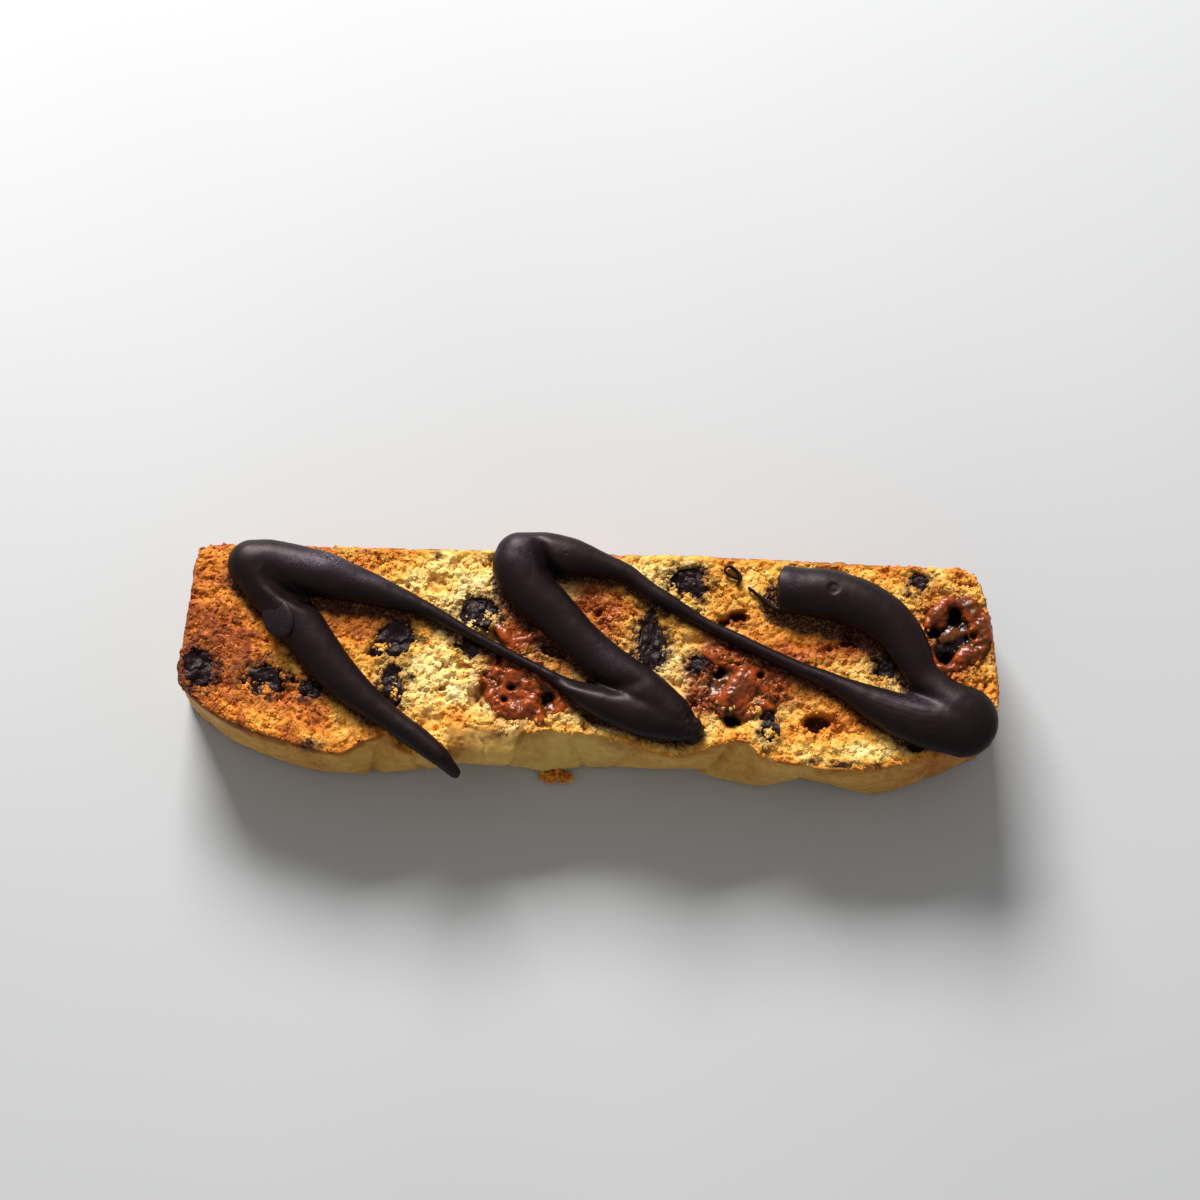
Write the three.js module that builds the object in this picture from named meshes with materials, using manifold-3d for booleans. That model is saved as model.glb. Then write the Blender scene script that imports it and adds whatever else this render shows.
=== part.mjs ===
// One long slice of biscotti lying on its cut face, with dark chocolate piped over it in a zigzag.
// X runs along the slice. +Y points to the flat side that lay on the baking sheet, and -Y to the
// risen, cracked crust. +Z is up, and z = 0 is the flat underside. All lengths are in millimetres.

import * as THREE from 'three';
import { mergeVertices } from 'three/addons/utils/BufferGeometryUtils.js';
import Module from 'manifold-3d';

const wasm = await Module();
wasm.setup();

// Driving dimensions of the slice.
const halfLength = 69.8;
const halfDepth = 18.1;
const thickness = 18;
const crustBulge = 1.1;
const edgeInset = 0.8;
const edgeHeight = 0.9;
const topUnevenness = 0.35;

// How finely the slice is divided along its length, its depth and its thickness.
const lengthCells = 42;
const depthCells = 8;
const thicknessShares = [0, edgeHeight / thickness, 0.5, 1 - edgeHeight / thickness, 1];

// The room between an inclusion and its pocket, and between the piped chocolate and the slice.
const clearance = 0.3;
const flushDepth = 0.1;

// Outlines as shares of the half length and half depth. The crust's edge is given on the upper and
// on the lower face, because it leans, overhangs and splits along the way.
const crustEdgeAbove = [
  [-0.968, -0.508], [-0.888, -0.691], [-0.789, -0.845], [-0.691, -0.939], [-0.593, -0.994],
  [-0.546, -0.895], [-0.489, -0.829], [-0.448, -0.956], [-0.352, -0.961], [-0.178, -0.983],
  [-0.142, -0.773], [-0.079, -0.735], [0.033, -0.762], [0.228, -0.928], [0.324, -0.801],
  [0.387, -0.785], [0.427, -0.901], [0.519, -0.983], [0.663, -0.994], [0.808, -0.890],
  [0.951, -0.713], [0.979, -0.608],
];
const crustEdgeBelow = [
  [-0.954, -0.552], [-0.864, -0.773], [-0.764, -0.901], [-0.662, -0.994], [-0.562, -1.011],
  [-0.463, -0.978], [-0.364, -0.923], [-0.266, -0.779], [-0.115, -0.923], [-0.014, -0.878],
  [0.186, -0.867], [0.258, -0.840], [0.294, -0.895], [0.423, -1.006], [0.537, -0.917],
  [0.682, -1.022], [0.781, -0.983], [0.968, -0.663],
];
const bakedBase = [
  [-0.950, 0.895], [-0.926, 0.945], [-0.802, 0.978], [-0.277, 0.994], [0.262, 1.000],
  [0.655, 0.978], [0.911, 0.945], [0.940, 0.901],
];
const leftEnd = [
  [-0.508, -0.968], [-0.409, -0.990], [-0.265, -1.000], [-0.122, -0.997], [0.221, -0.986],
  [0.608, -0.976], [0.773, -0.970], [0.895, -0.950],
];
const rightEnd = [
  [-0.608, 0.979], [-0.464, 0.994], [-0.293, 1.000], [0.088, 0.991], [0.470, 0.974],
  [0.807, 0.956], [0.901, 0.940],
];

// Chocolate chunks and caramel pieces that the knife laid bare. Places are shares of the half
// length and half depth, sizes are widths along X and Y in millimetres.
const chocolateAbove = [
  { at: [-0.95, -0.24], across: [5.6, 6.4] },
  { at: [-0.79, -0.35], across: [6.8, 5.6] },
  { at: [-0.67, -0.39], across: [4.0, 3.2] },
  { at: [-0.47, 0.09], across: [7.4, 6.0] },
  { at: [-0.48, -0.35], across: [4.4, 9.0] },
  { at: [-0.27, 0.39], across: [6.2, 5.6] },
  { at: [-0.29, 0.09], across: [3.8, 4.2] },
  { at: [0.24, 0.70], across: [6.2, 6.0] },
  { at: [0.15, 0.12], across: [5.0, 9.8] },
  { at: [0.27, -0.03], across: [4.0, 3.2] },
  { at: [0.80, 0.82], across: [4.0, 3.8] },
  { at: [0.44, -0.66], across: [3.4, 4.6] },
  { at: [0.73, -0.02], across: [4.8, 4.6] },
];
const chocolateBelow = [
  { at: [-0.82, 0.30], across: [6.4, 5.6] },
  { at: [-0.56, -0.42], across: [5.2, 6.8] },
  { at: [-0.31, 0.52], across: [7.0, 4.8] },
  { at: [-0.08, -0.30], across: [4.6, 5.2] },
  { at: [0.30, 0.58], across: [5.6, 6.2] },
  { at: [0.52, -0.36], across: [6.6, 5.0] },
  { at: [0.84, 0.16], across: [4.8, 6.4] },
];
const caramelAbove = [
  { at: [0.885, 0.33], across: [9.6, 11.6] },
  { at: [0.37, -0.23], across: [10.6, 8.8] },
  { at: [-0.14, -0.39], across: [10.8, 9.4] },
];
const caramelBelow = [
  { at: [-0.38, -0.02], across: [9.0, 7.6] },
  { at: [0.14, 0.06], across: [8.2, 9.4] },
];

// The piped chocolate: five strokes of one running zigzag, each a list of [x, y, width].
const pipedStrokes = [
  [
    [-21.7, -20.6, 1.4], [-26.6, -16.6, 3.4], [-35.6, -10.4, 4.6], [-43.2, -3.9, 7.1],
    [-49.7, 4.2, 8.0], [-54.0, 8.9, 8.0], [-57.9, 13.9, 8.5],
  ],
  [
    [-57.9, 13.9, 8.5], [-54.0, 14.0, 8.0], [-46.2, 12.3, 8.4], [-36.9, 10.2, 5.1],
    [-28.3, 7.3, 2.2], [-20.3, 3.1, 1.5], [-14.2, 0.1, 1.7], [-8.2, -2.9, 1.9], [-3.5, -5.5, 3.2],
    [2.1, -7.8, 5.8], [8.9, -9.8, 7.5], [14.4, -11.3, 6.4], [17.8, -12.4, 4.1],
  ],
  [
    [14.3, -9.9, 7.1], [9.7, -6.3, 7.8], [5.3, -3.0, 7.1], [0.3, 1.0, 6.9], [-4.8, 5.7, 7.5],
    [-9.9, 10.7, 8.8], [-12.4, 14.8, 9.2], [-12.3, 16.6, 8.8],
  ],
  [
    [-12.3, 16.6, 8.8], [-8.4, 17.4, 7.6], [-3.8, 16.9, 6.8], [1.3, 15.8, 4.7], [6.0, 14.3, 3.4],
    [10.5, 11.2, 3.1], [19.8, 6.0, 2.1], [28.9, 1.8, 2.4], [35.0, -0.9, 2.5], [41.2, -3.3, 3.2],
    [49.3, -6.6, 5.2], [56.1, -8.9, 8.5], [62.6, -9.4, 12.7],
  ],
  [
    [63.2, -8.7, 11.2], [59.4, -5.0, 7.5], [56.4, -1.7, 5.8], [54.4, 2.4, 7.1], [51.3, 6.8, 8.1],
    [45.7, 10.3, 8.5], [39.7, 11.8, 8.5], [32.6, 12.1, 7.8],
  ],
];
const ringSpacing = 4.3;
const sectionArcSteps = 6;
const pipedFootShare = 0.82;
const pipedSideShare = 0.14;
const greatestPipedHeight = 4.2;
const droopStartsAtY = -18.6;
const droopSlope = 1.1;

// Colours in linear-light shares of red, green and blue.
const crumbMaterial = new THREE.MeshStandardMaterial({
  color: new THREE.Color(0.66, 0.38, 0.15),
  roughness: 0.85,
  metalness: 0,
});
const chocolateMaterial = new THREE.MeshStandardMaterial({
  color: new THREE.Color(0.022, 0.013, 0.011),
  roughness: 0.35,
  metalness: 0,
});
const caramelMaterial = new THREE.MeshStandardMaterial({
  color: new THREE.Color(0.33, 0.09, 0.03),
  roughness: 0.25,
  metalness: 0,
});

function toManifold(geometry) {
  const bare = geometry.clone();
  bare.deleteAttribute('normal');
  bare.deleteAttribute('uv');
  const merged = mergeVertices(bare, 1e-4);
  return new wasm.Manifold(new wasm.Mesh({
    numProp: 3,
    vertProperties: new Float32Array(merged.attributes.position.array),
    triVerts: new Uint32Array(merged.index.array),
  }));
}

function toGeometry(solid) {
  const mesh = solid.getMesh();
  const geometry = new THREE.BufferGeometry();
  geometry.setAttribute('position', new THREE.BufferAttribute(mesh.vertProperties, 3));
  geometry.setIndex(new THREE.BufferAttribute(mesh.triVerts, 1));
  geometry.computeVertexNormals();
  return geometry;
}

function geometryFrom(positions, triangles) {
  const geometry = new THREE.BufferGeometry();
  geometry.setAttribute('position', new THREE.Float32BufferAttribute(positions, 3));
  geometry.setIndex(triangles);
  return geometry;
}

// The value at a place along an outline, by smooth cubic steps between its points.
function along(outline, place) {
  const last = outline.length - 1;
  let i = 0;
  while (i < last - 1 && outline[i + 1][0] < place) i += 1;
  const [startPlace, startValue] = outline[i];
  const [endPlace, endValue] = outline[i + 1];
  const before = outline[Math.max(i - 1, 0)];
  const after = outline[Math.min(i + 2, last)];
  const span = endPlace - startPlace;
  const startSlope = (endValue - before[1]) / (endPlace - before[0]);
  const endSlope = (after[1] - startValue) / (after[0] - startPlace);
  const t = THREE.MathUtils.clamp((place - startPlace) / span, 0, 1);
  const rise = t * t * (3 - 2 * t);
  const startPart = t * (1 - t) * (1 - t) * span * startSlope;
  const endPart = t * t * (1 - t) * span * endSlope;
  return startValue + (endValue - startValue) * rise + startPart - endPart;
}

// A point of an edge that is given as Y against X: the crust and the baked base.
function lengthwise(outline, share) {
  const x = THREE.MathUtils.lerp(outline[0][0], outline[outline.length - 1][0], share);
  return new THREE.Vector2(x, along(outline, x));
}

// A point of an edge that is given as X against Y: the two ends.
function crosswise(outline, share) {
  const y = THREE.MathUtils.lerp(outline[0][0], outline[outline.length - 1][0], share);
  return new THREE.Vector2(along(outline, y), y);
}

// A point inside four edges that meet at their corners: each pair of facing edges is blended
// across, and what the two blends share through the corners is taken off once.
function insideEdges(crust, base, left, right, u, v) {
  const across = lengthwise(crust, u).multiplyScalar(1 - v);
  across.addScaledVector(lengthwise(base, u), v);
  const lengthways = crosswise(left, v).multiplyScalar(1 - u);
  lengthways.addScaledVector(crosswise(right, v), u);
  const corners = lengthwise(crust, 0).multiplyScalar((1 - u) * (1 - v));
  corners.addScaledVector(lengthwise(crust, 1), u * (1 - v));
  corners.addScaledVector(lengthwise(base, 0), (1 - u) * v);
  corners.addScaledVector(lengthwise(base, 1), u * v);
  return across.add(lengthways).sub(corners);
}

// The ends of an outline moved to the corners of another one, so that four edges meet.
function withEndsOf(outline, start, end) {
  return [start, ...outline.slice(1, -1), end];
}

const leftEndBelow = withEndsOf(
  leftEnd, [crustEdgeBelow[0][1], crustEdgeBelow[0][0]], leftEnd[leftEnd.length - 1]);
const rightEndBelow = withEndsOf(
  rightEnd, [crustEdgeBelow.at(-1)[1], crustEdgeBelow.at(-1)[0]], rightEnd[rightEnd.length - 1]);

// A point of the slice: u runs along it, v from the crust to the baked base, w from bottom to top.
function slicePoint(u, v, w) {
  const above = insideEdges(crustEdgeAbove, bakedBase, leftEnd, rightEnd, u, v);
  const below = insideEdges(crustEdgeBelow, bakedBase, leftEndBelow, rightEndBelow, u, v);
  const point = below.lerp(above, THREE.MathUtils.smoothstep(w, 0, 1));
  const atFace = w === 0 || w === 1;
  const inset = atFace ? edgeInset : 0;
  const x = point.x * (halfLength - inset);
  const bulge = crustBulge * Math.sin(Math.PI * w) * (1 - v) * Math.min(1, 12 * u, 12 * (1 - u));
  const y = point.y * (halfDepth - inset) - bulge;
  const ripple = 1 + Math.sin(0.21 * x + 1.3) * Math.cos(0.34 * y - 0.16 * x);
  const z = w === 1 ? thickness - topUnevenness * ripple : w * thickness;
  return [x, y, z];
}

// The slice as the outside of a block of cells, whose shared corners make one closed skin.
function makeSlice() {
  const thicknessCells = thicknessShares.length - 1;
  const positions = [];
  const triangles = [];
  const numbers = new Map();
  const corner = (i, j, k) => {
    const key = `${i},${j},${k}`;
    if (!numbers.has(key)) {
      numbers.set(key, positions.length / 3);
      positions.push(...slicePoint(i / lengthCells, j / depthCells, thicknessShares[k]));
    }
    return numbers.get(key);
  };
  const quad = (a, b, c, d) => {
    triangles.push(a, b, c, a, c, d);
  };
  for (let i = 0; i < lengthCells; i += 1) {
    for (let j = 0; j < depthCells; j += 1) {
      const top = thicknessCells;
      quad(corner(i, j, top), corner(i + 1, j, top), corner(i + 1, j + 1, top), corner(i, j + 1, top));
      quad(corner(i, j, 0), corner(i, j + 1, 0), corner(i + 1, j + 1, 0), corner(i + 1, j, 0));
    }
    for (let k = 0; k < thicknessCells; k += 1) {
      const back = depthCells;
      quad(corner(i, 0, k), corner(i + 1, 0, k), corner(i + 1, 0, k + 1), corner(i, 0, k + 1));
      quad(corner(i, back, k), corner(i, back, k + 1), corner(i + 1, back, k + 1),
        corner(i + 1, back, k));
    }
  }
  for (let j = 0; j < depthCells; j += 1) {
    for (let k = 0; k < thicknessCells; k += 1) {
      const end = lengthCells;
      quad(corner(0, j, k), corner(0, j, k + 1), corner(0, j + 1, k + 1), corner(0, j + 1, k));
      quad(corner(end, j, k), corner(end, j + 1, k), corner(end, j + 1, k + 1),
        corner(end, j, k + 1));
    }
  }
  return toManifold(geometryFrom(positions, triangles));
}

// An uneven lump, sunk into the upper or the lower face. `grow` widens it into its own pocket,
// and a lump that isn't grown is cut off level with the face.
function makeLump({ at, across }, seed, { above, detail, roughness, grow }) {
  const [halfX, halfY] = across.map((width) => width / 2);
  const halfZ = 0.8 * Math.min(halfX, halfY);
  const sunk = 0.35 * halfZ;
  const middle = new THREE.Vector3(at[0] * halfLength, at[1] * halfDepth, 0);
  middle.z = above ? thickness - sunk : sunk;
  const ball = new THREE.IcosahedronGeometry(1, detail);
  const places = ball.attributes.position;
  const direction = new THREE.Vector3();
  for (let i = 0; i < places.count; i += 1) {
    direction.fromBufferAttribute(places, i).normalize();
    const waves = Math.sin(3.1 * direction.x + 2.2 * seed)
      + Math.sin(3.7 * direction.y - 1.7 * seed)
      + Math.sin(5.3 * direction.z * direction.x + seed);
    const reach = 1 + roughness * waves / 3;
    direction.multiply(new THREE.Vector3(halfX, halfY, halfZ)).multiplyScalar(reach);
    direction.setLength(direction.length() + grow).add(middle);
    if (grow === 0) {
      direction.z = THREE.MathUtils.clamp(direction.z, flushDepth, thickness - 2 * topUnevenness);
    }
    places.setXYZ(i, direction.x, direction.y, direction.z);
  }
  return toManifold(ball);
}

function pipedHeight(width) {
  return Math.min(0.75 * width, 1.1 + 0.33 * width, greatestPipedHeight);
}

// One ring of a stroke: a flat foot, short upright sides and a round back.
function strokeRing(spot, side, width, shrink) {
  const halfWidth = (width / 2) * shrink;
  const height = pipedHeight(width) * shrink;
  const droop = Math.max(0, droopStartsAtY - spot.y) * droopSlope;
  const foot = thickness + clearance - droop;
  const ring = [];
  for (let k = 0; k <= sectionArcSteps; k += 1) {
    const angle = Math.PI * k / sectionArcSteps;
    const rise = pipedSideShare + (1 - pipedSideShare) * Math.sin(angle);
    ring.push([Math.cos(angle) * halfWidth, foot + height * rise]);
  }
  ring.push([-pipedFootShare * halfWidth, foot], [pipedFootShare * halfWidth, foot]);
  return ring.map(([reach, z]) => [spot.x + side.x * reach, spot.y + side.y * reach, z]);
}

// A piped stroke: rings along a smooth route, with round ends that close in a point.
function makeStroke(route) {
  const line = new THREE.CatmullRomCurve3(
    route.map(([x, y, width]) => new THREE.Vector3(x, y, width)), false, 'centripetal');
  const steps = Math.ceil(line.getLength() / ringSpacing);
  const stations = [];
  const endAngles = [75, 50, 25].map(THREE.MathUtils.degToRad);
  const addStation = (share, beyond, shrink) => {
    const spot = line.getPointAt(share);
    const heading = line.getTangentAt(share);
    heading.z = 0;
    heading.normalize();
    const width = spot.z;
    spot.z = 0;
    spot.addScaledVector(heading, beyond * width / 2);
    const side = new THREE.Vector3(-heading.y, heading.x, 0);
    stations.push(strokeRing(spot, side, width, shrink));
  };
  endAngles.forEach((angle) => addStation(0, -Math.sin(angle), Math.cos(angle)));
  for (let i = 0; i <= steps; i += 1) addStation(i / steps, 0, 1);
  endAngles.reverse().forEach((angle) => addStation(1, Math.sin(angle), Math.cos(angle)));
  const size = stations[0].length;
  const positions = stations.flat(2);
  const triangles = [];
  for (let s = 0; s < stations.length - 1; s += 1) {
    for (let k = 0; k < size; k += 1) {
      const next = (k + 1) % size;
      const [a, b] = [s * size + k, s * size + next];
      triangles.push(a, b, b + size, a, b + size, a + size);
    }
  }
  for (const [s, forward] of [[0, false], [stations.length - 1, true]]) {
    const centre = positions.length / 3;
    const ring = stations[s];
    const mean = [0, 1, 2].map((axis) => ring.reduce((sum, p) => sum + p[axis], 0) / size);
    positions.push(...mean);
    for (let k = 0; k < size; k += 1) {
      const [a, b] = [s * size + k, s * size + (k + 1) % size];
      triangles.push(...(forward ? [a, b, centre] : [b, a, centre]));
    }
  }
  return toManifold(geometryFrom(positions, triangles));
}

const biscotti = new THREE.Group();

function addPart(name, solid, material) {
  const mesh = new THREE.Mesh(toGeometry(solid), material.clone());
  mesh.name = name;
  biscotti.add(mesh);
}

const coarseLump = { detail: 1, roughness: 0.22 };
const fineLump = { detail: 2, roughness: 0.3 };
const inclusions = [
  { kind: 'chocolate_chunk', look: coarseLump, above: true, spots: chocolateAbove },
  { kind: 'chocolate_chunk', look: coarseLump, above: false, spots: chocolateBelow },
  { kind: 'caramel_chunk', look: fineLump, above: true, spots: caramelAbove },
  { kind: 'caramel_chunk', look: coarseLump, above: false, spots: caramelBelow },
];
const made = { chocolate_chunk: 0, caramel_chunk: 0 };
let slice = makeSlice();
for (const { kind, look, above, spots } of inclusions) {
  const material = kind === 'caramel_chunk' ? caramelMaterial : chocolateMaterial;
  for (const spot of spots) {
    made[kind] += 1;
    const seed = made[kind];
    const lump = makeLump(spot, seed, { ...look, above, grow: 0 });
    slice = slice.subtract(makeLump(spot, seed, { ...look, above, grow: clearance }));
    addPart(`${kind}_${String(seed).padStart(2, '0')}`, lump, material);
  }
}
addPart('biscuit', slice, crumbMaterial);

const piped = pipedStrokes.map(makeStroke).reduce((whole, stroke) => whole.add(stroke));
addPart('chocolate_drizzle', piped, chocolateMaterial);

// The origin is the middle of the underside of the box around everything.
const bounds = new THREE.Box3().setFromObject(biscotti);
const middle = bounds.getCenter(new THREE.Vector3());
biscotti.position.set(-middle.x, -middle.y, -bounds.min.z);
biscotti.updateMatrixWorld(true);

export default biscotti;
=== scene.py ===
import math
from itertools import product

import bpy
import numpy as np
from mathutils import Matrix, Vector


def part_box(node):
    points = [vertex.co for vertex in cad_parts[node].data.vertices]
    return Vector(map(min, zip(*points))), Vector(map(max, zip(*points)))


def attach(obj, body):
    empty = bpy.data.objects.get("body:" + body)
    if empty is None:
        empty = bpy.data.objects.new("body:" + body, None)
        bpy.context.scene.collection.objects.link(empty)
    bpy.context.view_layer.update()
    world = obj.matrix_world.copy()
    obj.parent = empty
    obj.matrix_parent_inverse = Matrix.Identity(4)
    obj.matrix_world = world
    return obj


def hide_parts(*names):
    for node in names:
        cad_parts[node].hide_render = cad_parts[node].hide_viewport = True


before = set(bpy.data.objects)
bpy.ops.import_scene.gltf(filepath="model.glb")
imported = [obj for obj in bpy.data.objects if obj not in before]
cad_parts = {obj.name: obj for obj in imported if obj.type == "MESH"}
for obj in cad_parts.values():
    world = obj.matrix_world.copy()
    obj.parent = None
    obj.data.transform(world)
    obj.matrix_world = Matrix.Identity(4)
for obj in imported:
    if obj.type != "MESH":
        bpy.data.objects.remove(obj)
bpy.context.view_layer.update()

bl_info = {
    "name": "Biscotti slice",
    "version": (1, 0, 0),
    "blender": (4, 5, 0),
    "location": "3D Viewport > Sidebar > Biscotti",
    "description": "A long slice of biscotti with chunks in its crumb and chocolate piped over it",
    "category": "Add Mesh",
}

# All shapes are worked out in millimetres and put into metres when their mesh is made.
MM = 0.001


def node_box(node):
    """The lowest and the highest corner of a solid of the frame, in millimetres."""
    low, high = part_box(node)
    return np.array(low) / MM, np.array(high) / MM


def middle_and_half(node):
    """The middle of a solid's box and its half sizes, in millimetres."""
    low, high = node_box(node)
    return (low + high) / 2, (high - low) / 2


SLICE_LOW, SLICE_HIGH = node_box("biscuit")
HALF_LENGTH = (SLICE_HIGH[0] - SLICE_LOW[0]) / 2
HALF_DEPTH = SLICE_HIGH[1]
THICKNESS = SLICE_HIGH[2]
CHOCOLATE_NODES = sorted(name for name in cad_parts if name.startswith("chocolate_chunk"))
CARAMEL_NODES = sorted(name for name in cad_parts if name.startswith("caramel_chunk"))

# Outlines as shares of the half length and the half depth: the crust's edge on the upper and on
# the lower face, the flat baked base, and the two ends (as X against Y).
CRUST_ABOVE = np.array([
    (-0.968, -0.508), (-0.888, -0.691), (-0.789, -0.845), (-0.691, -0.939), (-0.593, -0.994),
    (-0.546, -0.895), (-0.489, -0.829), (-0.448, -0.956), (-0.352, -0.961), (-0.178, -0.983),
    (-0.142, -0.773), (-0.079, -0.735), (0.033, -0.762), (0.228, -0.928), (0.324, -0.801),
    (0.387, -0.785), (0.427, -0.901), (0.519, -0.983), (0.663, -0.994), (0.808, -0.890),
    (0.951, -0.713), (0.979, -0.608)])
CRUST_BELOW = np.array([
    (-0.954, -0.552), (-0.864, -0.773), (-0.764, -0.901), (-0.662, -0.994), (-0.562, -1.011),
    (-0.463, -0.978), (-0.364, -0.923), (-0.266, -0.779), (-0.115, -0.923), (-0.014, -0.878),
    (0.186, -0.867), (0.258, -0.840), (0.294, -0.895), (0.423, -1.006), (0.537, -0.917),
    (0.682, -1.022), (0.781, -0.983), (0.968, -0.663)])
BAKED_BASE = np.array([
    (-0.964, 0.915), (-0.932, 0.952), (-0.802, 0.978), (-0.277, 0.994), (0.262, 1.000),
    (0.655, 0.978), (0.911, 0.945), (0.940, 0.901)])
LEFT_END = np.array([
    (-0.508, -0.968), (-0.409, -0.990), (-0.265, -1.000), (-0.122, -0.997), (0.221, -0.986),
    (0.608, -0.977), (0.773, -0.974), (0.915, -0.964)])
RIGHT_END = np.array([
    (-0.608, 0.979), (-0.464, 0.994), (-0.293, 1.000), (0.088, 0.991), (0.470, 0.974),
    (0.807, 0.956), (0.901, 0.940)])
# How far the crust swells out between the two faces, and how wide its folded flap is.
CRUST_SWELL = 1.1
FLAP_WIDTH = 5.5

# The piped chocolate: strokes of one running zigzag, each a list of (x, y, width).
STROKES = (
    ((-22.1, -20.4, 2.2), (-26.6, -16.6, 3.9), (-35.6, -10.4, 4.9), (-43.2, -3.9, 7.1),
     (-49.7, 4.2, 8.0), (-54.0, 8.9, 8.0), (-57.9, 13.9, 8.5)),
    ((-57.9, 13.9, 8.5), (-54.0, 14.2, 8.0), (-46.2, 12.5, 8.0), (-36.9, 10.0, 5.5),
     (-28.3, 7.1, 2.9), (-20.3, 3.0, 1.9), (-14.2, 0.0, 1.9), (-8.2, -2.9, 1.9), (-3.5, -5.5, 3.2),
     (2.1, -7.8, 5.8), (8.9, -9.8, 7.5), (14.4, -11.3, 6.4), (17.8, -12.4, 4.1)),
    ((14.3, -9.9, 7.1), (9.7, -6.3, 7.8), (5.3, -3.0, 7.1), (0.3, 1.0, 6.9), (-4.8, 5.7, 7.5),
     (-9.9, 10.7, 8.8), (-12.4, 14.8, 9.2), (-12.3, 16.6, 8.8)),
    ((-12.3, 16.6, 8.8), (-8.4, 17.4, 7.6), (-3.8, 16.9, 6.8), (1.3, 15.8, 4.7), (6.0, 14.3, 3.4),
     (10.5, 11.2, 3.1), (19.8, 6.0, 2.1), (28.9, 1.8, 2.4), (35.0, -0.9, 2.5), (41.2, -3.3, 3.2),
     (49.3, -7.2, 6.5), (56.1, -9.3, 9.3), (63.1, -9.4, 12.7)),
    ((63.2, -8.7, 11.2), (59.4, -5.0, 7.5), (56.4, -1.7, 5.8), (54.4, 2.4, 7.1), (51.3, 6.8, 8.1),
     (45.7, 10.3, 8.7), (39.7, 11.8, 8.8), (35.6, 12.3, 8.2), (33.0, 12.6, 8.2)),
)
# How far each stroke's painted shadow, partly also chocolate that has run, reaches into the crumb in
# front of it.
SHADOW_AND_RUN_REACH = (0.9, 2.1, 1.6, 0.8, 2.4)
# Where the last stroke was cut off blunt, in X, and the least X and Y of what the cut flattens.
BLUNT_END = 31.8
BLUNT_CORNER = (27.0, 6.5)
# Past this Y a stroke hangs over the crust, and sinks by this much for each millimetre.
OVERHANG = -18.6
OVERHANG_SLOPE = 1.1
# The stretch of the fourth stroke that the nozzle left ridged, in X, and its ridges' spacing.
RIDGED_STRETCH = (38, 63)
RIDGE_SPACING = 0.95
# Valleys between neighbouring strokes, as (x, y, depth) along each.
VALLEYS = (
    ((-56.2, 12.4, 0.1), (-54.4, 10.6, 1.0), (-51.8, 8.9, 2.0), (-48.6, 7.5, 2.4), (-46.0, 6.8, 1.0)),
    ((-9.6, 20.0, 0.1), (-9.4, 18.6, 0.7), (-8.8, 16.8, 1.4), (-7.6, 14.7, 1.9), (-5.6, 12.4, 1.0)),
    ((-5.0, -4.6, 0.4), (-1.4, -4.8, 0.9), (4.7, -6.0, 0.8), (9.2, -4.9, 0.1)),
    ((51.8, -3.8, 0.6), (53.6, -4.6, 0.9), (56.4, -5.8, 0.7), (59.8, -7.4, 0.1)),
)
# Burst bubbles on the chocolate, as (x, y, radius, depth of the dimple, height of its rim).
BUBBLES = (
    (41.0, 12.2, 1.25, 0.24, 0.0), (-6.3, 14.2, 0.55, 0.08, 0.07), (-4.6, 16.9, 0.4, 0.05, 0.06),
    (-0.8, 18.4, 0.5, 0.05, 0.06), (-0.8, -3.7, 0.5, 0.08, 0.07),
)
# Where the chocolate has bloomed, and where a violet-grey sheen is painted on it: (x, y, reach X, reach
# Y, strength).
BLOOM_AND_SHEEN = (
    (-46, 14.6, 6, 1.5, 0.9), (-37, 11.6, 4, 1.0, 0.4), (-12, 17, 3, 3, 0.2), (56, -6, 5, 1.5, 0.3),
    (2, -2, 3, 3, 0.25), (34, 13, 2, 2, 0.25),
)
# Specks of crumb that stick to the bloomed, sheen-painted places: how many, and up to which X.
DUST_COUNT = 90
DUST_END = -38
# Routes of (x, y, width): the thin end that the nozzle pulled out of the last stroke, the loose
# curl beside it, and the torn points of the second stroke.
THREAD = (
    (33.6, 9.2, 1.6), (32.2, 9.0, 1.1), (30.7, 9.6, 0.8), (28.8, 11.1, 0.65), (26.8, 12.7, 0.5),
)
CURL = (
    (24.9, 13.2, 0.55), (25.3, 14.4, 0.75), (24.6, 15.6, 0.6), (23.3, 16.4, 0.5), (22.6, 15.8, 0.5),
    (23.2, 14.9, 0.5), (24.7, 14.3, 0.5),
)
RAGGED_TIPS = (
    ((15.0, -8.6, 3.4), (17.6, -10.4, 2.2), (20.0, -11.8, 0.6)),
    ((15.0, -11.8, 3.6), (17.0, -13.4, 1.6), (18.0, -14.7, 0.5)),
)
# The flat tongue that hangs over the first stroke: its middle, its half sizes, its turn in degrees
# about Z, and how it slopes along and across itself.
TONGUE = ((-52.8, 4.2, 20.9), (3.7, 2.6, 0.9), -66.0, (0.08, 0.35))

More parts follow.
